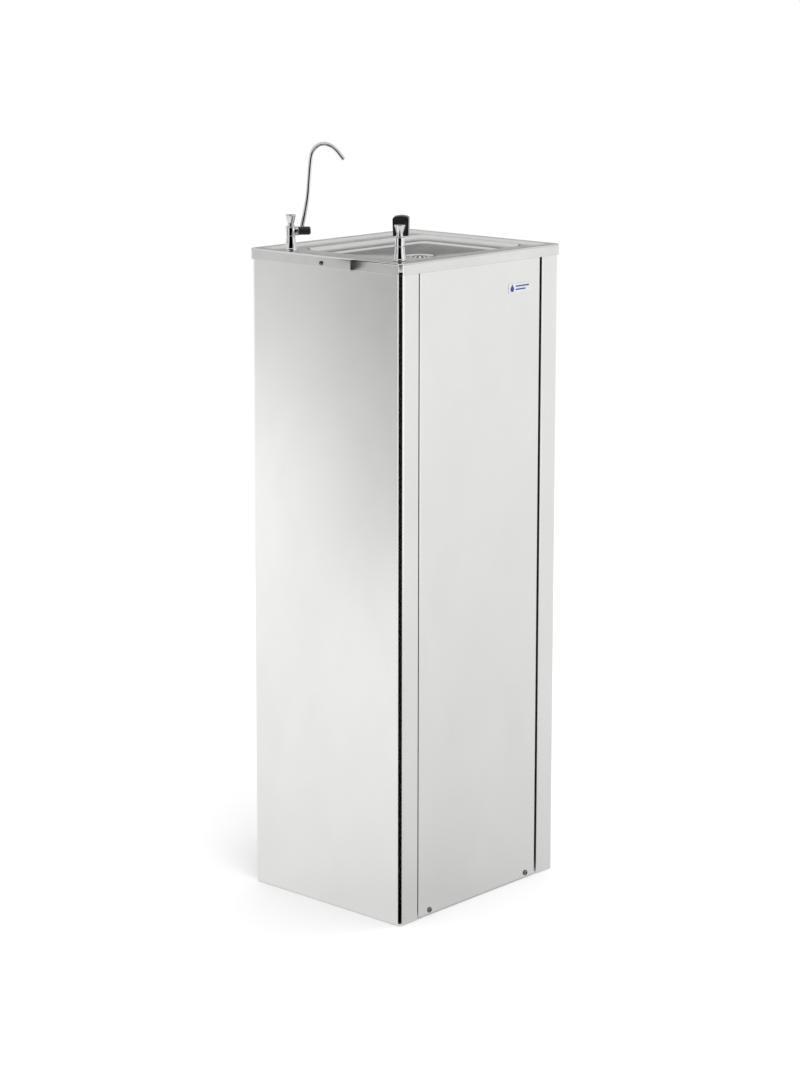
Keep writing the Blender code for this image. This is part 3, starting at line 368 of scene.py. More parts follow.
def lathe(profile, sides=48, ring=False, steps=4, smooth=32):
    """A turned shape from its (radius, height, bend) profile, run down the outer side."""
    path = soften(profile, steps, closed=ring)
    bm = bmesh.new()
    rings = []
    for radius, height in path:
        if radius < 0.00001:
            rings.append([bm.verts.new((0.0, 0.0, height))])
            continue
        ring_verts = []
        for i in range(sides):
            angle = 2 * math.pi * i / sides
            ring_verts.append(bm.verts.new((radius * math.cos(angle), radius * math.sin(angle), height)))
        rings.append(ring_verts)
    spans = list(zip(rings, rings[1:]))
    if ring:
        spans.append((rings[-1], rings[0]))
    for upper, lower in spans:
        for i in range(sides):
            k = (i + 1) % sides
            if len(upper) == 1:
                bm.faces.new((upper[0], lower[i], lower[k]))
            elif len(lower) == 1:
                bm.faces.new((upper[i], lower[0], upper[k]))
            else:
                bm.faces.new((upper[i], lower[i], lower[k], upper[k]))
    return mesh_of(bm, smooth)


def prism(outline, low, high, smooth=32):
    """A closed (x, y) outline extruded from low to high along Z."""
    bm = bmesh.new()
    bottom = [bm.verts.new((x, y, low)) for x, y in outline]
    top = [bm.verts.new((x, y, high)) for x, y in outline]
    bm.faces.new(bottom)
    bm.faces.new(top)
    for i in range(len(outline)):
        k = (i + 1) % len(outline)
        bm.faces.new((bottom[i], bottom[k], top[k], top[i]))
    return mesh_of(bm, smooth)


def block(low, high):
    outline = [(low[0], low[1]), (high[0], low[1]), (high[0], high[1]), (low[0], high[1])]
    return prism(outline, low[2], high[2])


def joined(*meshes):
    """One mesh of several separate shapes."""
    bm = bmesh.new()
    for mesh in meshes:
        bm.from_mesh(mesh)
    return mesh_of(bm)


def moved(mesh, matrix):
    mesh.transform(matrix)
    return mesh


def carve(mesh, tool, operation="DIFFERENCE", smooth=32):
    """The exact boolean of two meshes in the same frame."""
    base = bpy.data.objects.new("base", mesh)
    cutter = bpy.data.objects.new("cutter", tool)
    for thing in (base, cutter):
        bpy.context.scene.collection.objects.link(thing)
    boolean = base.modifiers.new("boolean", "BOOLEAN")
    boolean.operation = operation
    boolean.solver = "EXACT"
    boolean.object = cutter
    graph = bpy.context.evaluated_depsgraph_get()
    result = bpy.data.meshes.new_from_object(base.evaluated_get(graph), depsgraph=graph)
    for thing in (base, cutter):
        bpy.data.objects.remove(thing, do_unlink=True)
    result.shade_smooth()
    result.set_sharp_from_angle(angle=math.radians(smooth))
    return result


def along(start, end):
    """A frame at start whose +Z points to end."""
    turn = (Vector(end) - Vector(start)).to_track_quat("Z", "Y").to_matrix().to_4x4()
    return Matrix.Translation(start) @ turn


def rod(start, end, radius, end_radius=None, sides=40, edge=0.0):
    """A round bar from start to end with its end edges rounded."""
    length = (Vector(end) - Vector(start)).length
    last = radius if end_radius is None else end_radius
    profile = [(0.0, length), (last, length, edge), (radius, 0.0, edge), (0.0, 0.0)]
    return moved(lathe(profile, sides), along(start, end))


# Stands a prism on edge: its outline's x and y become Y and Z, and its length runs along X.
UPRIGHT = Matrix(((0, 0, 1, 0), (1, 0, 0, 0), (0, 1, 0, 0), (0, 0, 0, 1)))


def rear_frame(x, y, z):
    """A frame whose +Z points out of the back of the cabinet."""
    return Matrix.Translation((x, y, z)) @ Matrix.Rotation(math.radians(-90), 4, "X")


def folded(outer, low, high):
    """Sheet metal folded along an (x, y) path; its thickness lies to the left of the path."""
    inner = []
    for i, place in enumerate(outer):
        before = (place - outer[i - 1]).normalized() if i else None
        after = (outer[i + 1] - place).normalized() if i < len(outer) - 1 else None
        before = before or after
        after = after or before
        left = Vector((-before.y - after.y, before.x + after.x)).normalized()
        widen = max(left.dot(Vector((-before.y, before.x))), 0.5)
        inner.append(place + left * SHEET / widen)
    return prism(outer + inner[::-1], low, high)


def smooth_route(points, steps):
    """A smooth curve through the points, straight in its first and last spans."""
    places = [Vector(point) for point in points]
    route = [places[0]]
    for before, start, end, after in zip(places, places[1:], places[2:], places[3:]):
        for k in range(steps):
            t = k / steps
            linear = (end - before) * t
            square = (2 * before - 5 * start + 4 * end - after) * t ** 2
            cube = (3 * start - 3 * end + after - before) * t ** 3
            route.append((2 * start + linear + square + cube) / 2)
    return route + places[-2:]


def tube_stations(path, radius):
    """Stations of one radius along a path, each facing the way that its neighbours lie."""
    last = len(path) - 1
    stations = []
    for i, place in enumerate(path):
        ahead = path[min(i + 1, last)] - path[max(i - 1, 0)]
        stations.append((place, ahead.normalized(), radius))
    return stations


def sweep(stations, sides=32):
    """A tube through (centre, direction, radius) stations, closed at both ends."""
    bm = bmesh.new()
    rings = []
    side = Vector((0.0, 1.0, 0.0))
    for centre, direction, radius in stations:
        across = (side - direction * side.dot(direction)).normalized()
        up = direction.cross(across)
        ring = []
        for i in range(sides):
            angle = 2 * math.pi * i / sides
            ring.append(bm.verts.new(centre + (across * math.cos(angle) + up * math.sin(angle)) * radius))
        rings.append(ring)
    for ring, after in zip(rings, rings[1:]):
        for i in range(sides):
            k = (i + 1) % sides
            bm.faces.new((ring[i], ring[k], after[k], after[i]))
    bm.faces.new(rings[0])
    bm.faces.new(rings[-1])
    return mesh_of(bm, 40)


# Cabinet -----------------------------------------------------------------------------------

def side_panels():
    """Folded side sheets with a rear flange, a front post and an inward lip."""
    path = [(-SIDE_X + REAR_FLANGE, FACE_Y), (-SIDE_X, FACE_Y, CORNER_BEND), (-SIDE_X, -FACE_Y, CORNER_BEND),
            (-POST_X, -FACE_Y, LIP_BEND), (-POST_X, -FACE_Y + LIP)]
    left = folded(soften(path, 12), SIDE_LOW.z, SIDE_HIGH.z)
    mirrored = [(-point[0], *point[1:]) for point in reversed(path)]
    right = folded(soften(mirrored, 12), SIDE_LOW.z, SIDE_HIGH.z)
    piece("left_side", left, ["side_panel_left"], bevel=0.00025)
    piece("right_side", right, ["side_panel_right"], bevel=0.00025)


def front_cover():
    """Removable front sheet with a lip folded back at each side."""
    half = FRONT_HIGH.x
    left = -half - COVER_SHIFT
    right = half - COVER_SHIFT
    path = [(left, FRONT_HIGH.y), (left, FRONT_LOW.y, LIP_BEND), (right, FRONT_LOW.y, LIP_BEND),
            (right, FRONT_HIGH.y)]
    piece("front_cover", folded(soften(path, 8), FRONT_LOW.z, FRONT_HIGH.z), ["front_panel"], bevel=0.00025)


def louvre_hoods():
    """Pressed hoods over the air slots of the back panel, open downwards."""
    hoods = []
    profile = [(0.0, 0.0072), (0.0012, 0.0068, 0.0008), (0.0030, 0.0012, 0.0010), (0.0031, -0.0004),
               (0.0024, -0.0004), (0.0020, 0.0008, 0.0008), (0.0006, 0.0058, 0.0006), (0.0, 0.0060)]
    section = soften(profile, 4)
    for column in (-0.066, 0.066):
        for row in range(8):
            height = 0.060 + 0.020 * row
            hood = prism(section, -0.0515, 0.0515)
            place = Matrix.Translation((column, BACK_HIGH.y, height)) @ UPRIGHT
            hoods.append(moved(hood, place))
    piece("back_louvres", joined(*hoods), [], slot="galvanised_steel", body=BODY_OF["back_panel"])


def cross_screw(name, node, direction, head):
    """Domed machine screw with a cross recess; its rim edge is broken."""
    low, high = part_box(node)
    facing = Vector(direction)
    centre = (low + high) / 2
    axis = max(range(3), key=lambda i: abs(facing[i]))
    top = high[axis] if facing[axis] > 0 else low[axis]
    bottom = low[axis] if facing[axis] > 0 else high[axis]
    seat = centre.copy()
    seat[axis] = top - facing[axis] * 0.0024
    length = abs(seat[axis] - bottom)
    dome = [(0.0, 0.0024), (head * 0.45, 0.00215, 0.002), (head * 0.85, 0.0012, 0.001), (head, 0.0, 0.0003),
            (0.0018, 0.0), (0.0018, -length + 0.001), (0.0, -length)]
    mesh = lathe(dome, 40)
    slot_half = head * 0.50
    thin = head * 0.12
    for half_x, half_y in ((slot_half, thin), (thin, slot_half)):
        mesh = carve(mesh, block((-half_x, -half_y, 0.0009), (half_x, half_y, 0.0040)))
    turn = facing.to_track_quat("Z", "Y").to_matrix().to_4x4() @ Matrix.Rotation(0.5, 4, "Z")
    piece(name, mesh, [node], Matrix.Translation(seat) @ turn, bevel=0.00006)


def screws():
    for label, side in (("left", -1), ("right", 1)):
        cross_screw("cover_screw_" + label, "front_screw_" + label, (0, -1, 0), 0.0045)
        cross_screw("skirt_screw_" + label, "top_screw_" + label, (side, 0, 0), 0.0035)
        cross_screw("flange_screw_" + label, "back_screw_" + label, (0, 1, 0), 0.0038)


def badge():
    """Blank metal name plate with a plain water drop and two lines beside it."""
    low, high = BADGE_LOW, BADGE_HIGH
    half_x = (high.x - low.x) / 2
    half_z = (high.z - low.z) / 2
    centre = Matrix.Translation(((low.x + high.x) / 2, high.y, (low.z + high.z) / 2))
    upright = centre @ Matrix.Rotation(math.radians(90), 4, "X")
    outline = soften([(-half_x, -half_z, 0.002), (half_x, -half_z, 0.002), (half_x, half_z, 0.002),
                      (-half_x, half_z, 0.002)], 6, closed=True)
    thickness = high.y - low.y
    plate = prism(outline, -GAP + 0.00005, thickness * 0.45)
    piece("name_plate", plate, ["badge"], upright, bevel=0.00025)
    drop = []
    for k in range(40):
        angle = 2 * math.pi * k / 40
        pull = max(0.0, math.sin(angle)) ** 3
        drop.append((-0.0175 + 0.0040 * math.cos(angle) * (1 - 0.75 * pull),
                     -0.0014 + 0.0040 * math.sin(angle) + 0.0034 * pull))
    face = thickness * 0.40
    symbol = prism(drop, face, thickness * 0.60)
    piece("plate_drop", symbol, [], upright, finish=BLUE_PRINT, slot="badge", body=BODY_OF["badge"])
    lines = []
    for height, end in ((0.0024, 0.0200), (-0.0022, 0.0120)):
        bar = [(-0.0100, height - 0.0010, 0.0009), (end, height - 0.0010, 0.0009),
               (end, height + 0.0010, 0.0009), (-0.0100, height + 0.0010, 0.0009)]
        lines.append(prism(soften(bar, 4, closed=True), face, thickness * 0.60))
    piece("plate_lines", joined(*lines), [], upright, finish=BLUE_PRINT, slot="badge", body=BODY_OF["badge"])


# Basin -------------------------------------------------------------------------------------

CORNER_STEPS = 12


def rect_loop(centre_x, half_x, half_y, corner, height):
    """Points round a level rectangle with rounded corners."""
    loop = []
    for quarter, (side_x, side_y) in enumerate(((1, 1), (-1, 1), (-1, -1), (1, -1))):
        x = centre_x + side_x * (half_x - corner)
        y = side_y * (half_y - corner)
        for k in range(CORNER_STEPS + 1):
            angle = math.radians(90 * (quarter + k / CORNER_STEPS))
            loop.append(Vector((x + corner * math.cos(angle), y + corner * math.sin(angle), height)))
    return loop


def drain_loop(radius, height):
    """As many points as a rectangle's loop has, round the drain."""
    count = 4 * (CORNER_STEPS + 1)
    loop = []
    for i in range(count):
        angle = 2 * math.pi * (i + 0.5) / count
        loop.append(Vector((DRAIN.x + radius * math.cos(angle), DRAIN.y + radius * math.sin(angle), height)))
    return loop


def basin():
    """Pressed top: rolled rim, recessed deck, stepped bowl and a floor that falls to the drain."""
    rim = [(0.0, TOP_Z - SKIRT), (0.0, TOP_Z - SKIRT + 0.0004), (0.0, TOP_Z, 0.0029), (0.0140, TOP_Z, 0.0014),
           (0.0158, DECK_Z, 0.0012), (0.0185, DECK_Z)]
    loops = []
    for inset, height in soften(rim, 7):
        corner = max(CAP_CORNER - inset * 0.3, 0.003)
        loops.append(rect_loop(0.0, CAP_HALF_X - inset, CAP_HALF_Y - inset, corner, height))
    well = [(-0.0010, DECK_Z), (0.0018, DECK_Z, 0.0016), (0.0050, DECK_Z - 0.0044, 0.0016),
            (0.0240, DECK_Z - 0.0066, 0.0012), (0.0262, DECK_Z - 0.0086, 0.0010), (0.0300, DECK_Z - 0.0090)]
    for inset, height in soften(well, 7):
        corner = max(BOWL_CORNER - inset * 0.4, 0.004)
        loops.append(rect_loop(BOWL_X, BOWL_HALF[0] - inset, BOWL_HALF[1] - inset, corner, height))
    edge = loops[-1]
    collar = drain_loop(0.0290, SEAT_Z + 0.0032)
    for k in (0.25, 0.5, 0.75):
        loops.append([a.lerp(b, k) for a, b in zip(edge, collar)])
    loops.append(collar)
    seat = ((0.0245, 0.0026), (0.0224, 0.0020), (0.0214, 0.0006), (0.0204, 0.0), (DRAIN_HOLE, 0.0))
    for radius, height in seat:
        loops.append(drain_loop(radius, SEAT_Z + height))
    bm = bmesh.new()
    rings = [[bm.verts.new(place) for place in loop] for loop in loops]
    for outer, inner in zip(rings, rings[1:]):
        for i in range(len(outer)):
            k = (i + 1) % len(outer)
            bm.faces.new((outer[i], outer[k], inner[k], inner[i]))
    mesh = bpy.data.meshes.new("basin")
    bm.to_mesh(mesh)
    bm.free()
    mesh.shade_smooth()
    made = piece("basin", mesh, ["basin_top"])
    shell = made.modifiers.new("sheet", "SOLIDIFY")
    shell.thickness = SHEET
    shell.offset = -1.0
    shell.use_even_offset = True
    made.modifiers.new("shading", "WEIGHTED_NORMAL")


def waste():
    """Drain flange, rubber trap flap and the slotted strainer, which is domed here."""
    at_seat = Matrix.Translation((DRAIN.x, DRAIN.y, SEAT_Z))
    stem = DRAIN_HOLE - GAP
    flange = [(0.0195, 0.0003), (0.0194, 0.0013, 0.0006), (0.0182, 0.0020, 0.0006), (0.0162, 0.0020, 0.0004),
              (0.0156, 0.0006), (0.0133, 0.0006, 0.0003), (0.0133, -0.0339), (stem, -0.0339), (stem, 0.0003)]
    piece("drain_flange", lathe(flange, 64, ring=True), ["drain_body"], at_seat)
    flap = lathe([(0.0, -0.0060), (0.0131, -0.0066), (0.0131, -0.0076), (0.0, -0.0070)], 48)
    piece("trap_flap", flap, [], at_seat, slot="rubber", body=BODY_OF["drain_body"])
    dome = [(0.0, 0.0040), (0.0062, 0.0036, 0.004), (0.0116, 0.0012, 0.002), (0.0140, 0.0010, 0.0006),
            (0.0149, 0.0009, 0.0003), (0.0149, 0.0002), (0.0112, 0.0002, 0.001), (0.0058, 0.0028, 0.004),
            (0.0, 0.0032)]
    mesh = lathe(dome, 64)
    for k in range(8):
        turn = Matrix.Rotation(math.radians(45 * k + 22.5), 4, "Z")
        outline = soften([(0.0056, -0.0011, 0.0010), (0.0119, -0.0020, 0.0016), (0.0119, 0.0020, 0.0016),
                          (0.0056, 0.0011, 0.0010)], 5, closed=True)
        slot = moved(prism(outline, -0.01, 0.01), turn)
        mesh = carve(mesh, slot)
    piece("strainer", mesh, ["drain_strainer"], at_seat, bevel=0.0001)


# Taps --------------------------------------------------------------------------------------

def tap_frame(foot, angle):
    """A tap's frame on the deck; its spigot points along +X."""
    return Matrix.Translation((foot.x, foot.y, DECK_Z)) @ Matrix.Rotation(angle, 4, "Z")


def tap(kind, at, flare, waist):
    """Chrome valve: waisted body with a foot flange and spigot, flared push button and bonnet."""
    body = [(0.0, 0.0334), (0.0069, 0.0334, 0.0005), (0.0074, 0.0328, 0.0003), (0.0074, 0.0215, 0.0004),
            (0.0066, 0.0206, 0.0003), (0.0066, 0.0196, 0.0003), (0.0069, 0.0186, 0.002), (0.0077, 0.0110, 0.02),
            (0.0089, 0.0036, 0.002), (0.0098, 0.0024, 0.0006), (0.0100, 0.0003), (0.0060, 0.0003),
            (0.0060, -0.0299, 0.0005), (0.0, -0.0299)]
    mesh = lathe(body, 64)
    mesh = carve(mesh, rod((0.0, 0.0, SPIGOT_Z), (0.0095, 0.0, SPIGOT_Z), 0.0055, sides=48), "UNION")
    mesh = carve(mesh, rod((0.0079, 0.0, SPIGOT_Z), (SPIGOT_END, 0.0, SPIGOT_Z), 0.0070, sides=48, edge=0.0004),
                 "UNION")
    mesh = carve(mesh, rod((0, 0, 0.0150), (0, 0, 0.0360), 0.0059, sides=40))
    mesh = carve(mesh, rod((0, 0, -0.0310), (0, 0, 0.0160), 0.0025, sides=24))
    piece(kind + "_valve", mesh, [kind + "_body"], at, bevel=0.00008)

    button = [(0.0, 0.05145), (flare - 0.0016, 0.0512, 0.004), (flare - 0.0003, 0.0507, 0.0006),
              (flare, 0.0497, 0.0006), (waist, 0.0394, 0.001), (STEM_RADIUS, 0.0386, 0.0004),
              (STEM_RADIUS, 0.0331), (0.0057, 0.0331, 0.0002), (0.0057, 0.0315, 0.0002), (STEM_RADIUS, 0.0315),
              (STEM_RADIUS, 0.0126, 0.0006), (0.0, 0.0116)]
    piece(kind + "_push", lathe(button, 64), [kind + "_button"], at)

    bonnet = [(0.0060, 0.0352, 0.0003), (0.0064, 0.0348, 0.0002), (0.0064, 0.0338), (STEM_RADIUS + GAP, 0.0338),
              (STEM_RADIUS + GAP, 0.0352, 0.0002)]
    piece(kind + "_collar", lathe(bonnet, 64, ring=True), [kind + "_bonnet"], at)


def spring(kind, at):
    """Coil under the button's collar, built at one length; on the real tap it shortens as the button goes down.
    """
    low, high, turns, radius, wire = 0.01605, 0.03035, 4.0, 0.00525, 0.00033
    places = []
    count = int(turns * 20)
    for k in range(count + 1):
        angle = 2 * math.pi * turns * k / count
        height = low + (high - low) * k / count
        places.append(Vector((radius * math.cos(angle), radius * math.sin(angle), height)))
    coil = piece(kind + "_coil", sweep(tube_stations(places, wire), 8), [kind + "_spring"], at)
    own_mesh(coil)


def bubbler():
    """Near tap with its upright jet under the black lip guard."""
    at = tap_frame(BUBBLER_FOOT, SPIGOT_ANGLE)
    tap("bubbler", at, 0.0079, 0.0050)
    start = SPIGOT_END + GAP
    elbow = rod((start, 0, SPIGOT_Z), (0.0235, 0, SPIGOT_Z), 0.0053, sides=48, edge=0.0010)
    cone = rod((0.0185, 0.0, SPIGOT_Z), (0.0200, 0.0, 0.0420), 0.0046, 0.0030, sides=48, edge=0.0003)
    mesh = carve(elbow, cone, "UNION")
    mesh = carve(mesh, rod((0.0197, 0.0, 0.0390), (0.0203, 0.0, 0.0450), 0.0013, sides=24))
    piece("bubbler_jet", mesh, ["bubbler_nozzle"], at, bevel=0.00008)
    lip_guard(at)


def arch(half_width, low, high, round_top, steps=10):
    """Outline of the guard's section: narrower foot, crowned roof and rounded shoulders."""
    foot = half_width * 0.92
    shoulder = high - 0.0016
    outline = [(-foot, low), (foot, low), (half_width, shoulder, round_top), (0.0, high, 0.02),
               (-half_width, shoulder, round_top)]
    return soften(outline, steps, closed=True)


def lip_guard(at):
    """Black hood over the jet: arched shell with soft edges, open towards the basin."""
    wall = 0.0018
    shell = prism(arch(0.0116, 0.0335, 0.0618, 0.0048), 0.0109, 0.0294)
    inside = arch(0.0116 - wall, 0.0335 + wall, 0.0618 - wall, 0.0032)
    shell = carve(shell, prism(inside, 0.0109 + wall, 0.0320))
    hole = moved(rod((0.0186, 0.0, 0.0310), (0.0190, 0.0, 0.0380), 0.0058), UPRIGHT.inverted())
    shell = carve(shell, hole)
    piece("lip_guard", shell, ["bubbler_hood"], at @ UPRIGHT, bevel=0.0006)


def filler():
    """Rear tap with its ribbed black coupling and the swan neck tube."""
    at = tap_frame(FILLER_FOOT, -SPIGOT_ANGLE)
    tap("filler", at, 0.0074, 0.0054)
    start = SPIGOT_END + GAP
    axis = Vector((math.sin(SPOUT_TILT), 0.0, math.cos(SPOUT_TILT)))
    ribs = [(0.0, 0.0), (0.0061, 0.0, 0.0004)]
    for k in range(5):
        z = 0.0022 + 0.0026 * k
        ribs += [(0.0061, z), (0.0057, z + 0.0004), (0.0057, z + 0.0009), (0.0061, z + 0.0013)]
    ribs += [(0.0061, 0.0158, 0.0004), (0.0050, 0.0179, 0.0005), (0.0, 0.0179)]
    mesh = moved(lathe(ribs[::-1], 64), along((start, 0.0, SPIGOT_Z), (0.03, 0.0, SPIGOT_Z)))
    socket = rod(SPOUT_ENTRY - axis * 0.0055, SPOUT_ENTRY + axis * 0.0060, 0.0033, sides=32)
    piece("filler_coupling", carve(mesh, socket), ["filler_adaptor"], at, bevel=0.00008)

    bends = [(0.0206, 0.0540), (0.0250, 0.0800), (0.0275, 0.1100), (0.0300, 0.1330), (0.0345, 0.1445),
             (0.0420, 0.1505), (0.0510, 0.1515), (0.0600, 0.1480), (0.0685, 0.1400), (0.0770, 0.1290)]
    route = [SPOUT_ENTRY - axis * 0.0050, SPOUT_ENTRY] + [Vector((x, 0.0, z)) for x, z in bends]
    stations = tube_stations(smooth_route(route, 8), 0.00298)
    tip, outward, radius = stations.pop()
    for back, tip_radius in ((0.0002, radius), (0.0, radius - 0.0002), (0.0, 0.0023), (0.0002, 0.0021),
                             (0.0060, 0.0021)):
        stations.append((tip - outward * back, outward, tip_radius))
    piece("swan_neck_tube", sweep(stations), ["swan_neck"], at)


# Fittings on the back ----------------------------------------------------------------------

def threaded(radius, root, start, end, pitch):
    """Turned profile points of a thread-like row of ridges, from end down to start."""
    points = []
    height = end
    while height - pitch > start:
        points += [(radius, height - pitch * 0.15), (radius, height - pitch * 0.40),
                   (root, height - pitch * 0.62), (root, height - pitch * 0.88)]
        height -= pitch
    return points


def supply_valve():
    """Brass stop valve: threaded nipple and hexagon outside, round body and lever boss inside."""
    x = (NIPPLE_LOW.x + NIPPLE_HIGH.x) / 2
    z = NIPPLE_HIGH.z - 0.0150
    to_rear = rear_frame(x, 0.0, z)
    nipple = [(0.0, 0.1649), (0.0082, 0.1649), (0.0090, 0.1640)]
    nipple += threaded(0.0095, 0.0088, 0.1492, 0.1638, 0.0018)
    nipple += [(0.0095, 0.1485), (0.0095, 0.1181), (0.0, 0.1181)]
    mesh = lathe(nipple, 48)
    hexagon = []
    for k in range(6):
        angle = math.radians(60 * k + 30)
        hexagon.append((0.0149 * math.cos(angle), 0.0149 * math.sin(angle)))
    mesh = carve(mesh, prism(hexagon, 0.1447, 0.1489), "UNION")
    mesh = carve(mesh, rod((0, 0, 0.1200), (0, 0, 0.1420), 0.0124, edge=0.0008), "UNION")
    mesh = carve(mesh, rod((0, 0.0, 0.1300), (0, 0.0160, 0.1300), 0.0054), "UNION")
    mesh = carve(mesh, rod((0, 0, 0.1490), (0, 0, 0.1660), 0.0070))
    mesh = carve(mesh, rod((0, 0, 0.1170), (0, 0, 0.1500), 0.0024, sides=24))
    piece("stop_valve", mesh, ["inlet_valve"], to_rear, bevel=0.0001)


def appliance_inlet():
    """Flanged inlet with a chamfered recess and three rounded pins."""
    x = (SOCKET_LOW.x + SOCKET_HIGH.x) / 2
    z = (SOCKET_LOW.z + SOCKET_HIGH.z) / 2
    rear = SOCKET_HIGH.y
    to_rear = rear_frame(x, 0.0, z)
    flange = soften([(-0.0249, -0.0139, 0.004), (0.0249, -0.0139, 0.004), (0.0249, 0.0139, 0.004),
                     (-0.0249, 0.0139, 0.004)], 8, closed=True)
    mesh = prism(flange, BACK_HIGH.y + GAP, rear)
    mesh = carve(mesh, block((-0.0134, -0.0099, 0.1191), (0.0134, 0.0099, rear - 0.001)), "UNION")
    recess = soften([(-0.0117, -0.0081, 0.0035), (0.0117, -0.0081, 0.0035), (0.0117, 0.0081, 0.001),
                     (-0.0117, 0.0081, 0.001)], 6, closed=True)
    mesh = carve(mesh, prism(recess, 0.1300, rear + 0.001))
    piece("inlet_housing", mesh, ["power_inlet"], to_rear, bevel=0.0003)
    pins = []
    for pin_x, pin_z in ((-0.007, 0.003), (0.0, -0.003), (0.007, 0.003)):
        low = (pin_x - 0.0010, pin_z - 0.0020, 0.1290)
        high = (pin_x + 0.0010, pin_z + 0.0020, 0.1394)
        pins.append(block(low, high))
    piece("inlet_pins", joined(*pins), [], to_rear, slot="brass", body=BODY_OF["power_inlet"], bevel=0.0003)


def dial():
    """Thermostat knob: fluted edge, raised grip and a white pointer line."""
    x = (KNOB_LOW.x + KNOB_HIGH.x) / 2
    z = (KNOB_LOW.z + KNOB_HIGH.z) / 2
    seat = BACK_HIGH.y + 0.0008
    to_rear = rear_frame(x, seat, z)
    knob = [(0.0, 0.0139), (0.0099, 0.0139, 0.0006), (0.0109, 0.0130, 0.0006), (0.0118, 0.0, 0.0003),
            (0.0030, 0.0), (0.0030, -0.0119, 0.0004), (0.0, -0.0119)]
    mesh = lathe(knob, 72)
    flutes = []
    for k in range(18):
        angle = 2 * math.pi * k / 18
        place = (0.0128 * math.cos(angle), 0.0128 * math.sin(angle))
        flutes.append(rod((*place, 0.0015), (*place, 0.0150), 0.0014, sides=12))
    mesh = carve(mesh, joined(*flutes))
    mesh = carve(mesh, block((-0.0021, -0.0094, 0.0130), (0.0021, 0.0094, 0.0169)), "UNION")
    piece("dial_knob", mesh, ["thermostat_knob"], to_rear, bevel=0.0003)
    pointer = block((-0.0005, -0.0092, 0.0167), (0.0005, -0.0030, 0.0170))
    piece("dial_pointer", pointer, [], to_rear, finish=WHITE_PRINT, slot="white_plastic",
          body=BODY_OF["thermostat_knob"])


def carried_over():
    """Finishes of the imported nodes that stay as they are."""
    for name, node in frame["nodes"].items():
        node.data.materials.clear()
        node.data.materials.append(FINISHES[SLOT_OF[name]])
        node.data.set_sharp_from_angle(angle=math.radians(35))


# Studio ------------------------------------------------------------------------------------

CAMERA_PLACE = Vector((-2.9762, -2.6852, 1.4091))
CAMERA_YAW = -0.8344
CAMERA_PITCH = 0.1713
CAMERA_ROLL = -0.0013
CAMERA_SHIFT = -0.12
FOCAL_PIXELS = 2784.0
FRAME_HEIGHT = 1066
WORLD_LIGHT = 1.12
WORLD_IN_METAL = 0.84
CORNER_FLAG_DISTANCE = 0.009
TAP_FLAG_DISTANCE = 0.16
SIDE_CARD_DISTANCE = 2.0
BACK_CARD_DISTANCE = 3.0
NEAR_CORNER = Vector((-SIDE_X, -FACE_Y))


def glow_material():
    """Light of the studio cards; each point of a card states its own brightness."""
    material = bpy.data.materials.new("studio_card")
    material.use_nodes = True
    nodes = material.node_tree.nodes
    nodes.clear()
    brightness = nodes.new("ShaderNodeAttribute")
    brightness.attribute_name = "glow"
    light = nodes.new("ShaderNodeEmission")
    out = nodes.new("ShaderNodeOutputMaterial")
    material.node_tree.links.new(brightness.outputs["Fac"], light.inputs["Strength"])
    material.node_tree.links.new(light.outputs["Emission"], out.inputs["Surface"])
    return material


def around(angle, distance, height, centre=NEAR_CORNER):
    """A place round a centre: angle 0 is towards the camera, positive to the camera's right."""
    towards = math.atan2(CAMERA_PLACE.y - NEAR_CORNER.y, CAMERA_PLACE.x - NEAR_CORNER.x)
    turn = towards + math.radians(angle)
    return Vector((centre.x + distance * math.cos(turn), centre.y + distance * math.sin(turn), height))


def card(name, rows, material):
    """A studio card that shows only in glossy reflections; rows hold (place, brightness) pairs."""
    bm = bmesh.new()
    glow = bm.verts.layers.float.new("glow")
    grid = []
    for row in rows:
        line = []
        for place, brightness in row:
            vert = bm.verts.new(place)
            vert[glow] = brightness
            line.append(vert)
        grid.append(line)
    for line, after in zip(grid, grid[1:]):
        for i in range(len(line) - 1):
            bm.faces.new((line[i], line[i + 1], after[i + 1], after[i]))
    mesh = bpy.data.meshes.new(name)
    bm.to_mesh(mesh)
    bm.free()
    mesh.materials.append(material)
    made = bpy.data.objects.new(name, mesh)
    bpy.context.scene.collection.objects.link(made)
    made.visible_camera = False
    made.visible_diffuse = False
    made.visible_shadow = False
    made.visible_transmission = False


def ramp(value, start, end, first, last):
    """Linear change from first to last while value goes from start to end, level outside."""
    t = min(max((value - start) / (end - start), 0.0), 1.0)
    return first + (last - first) * t


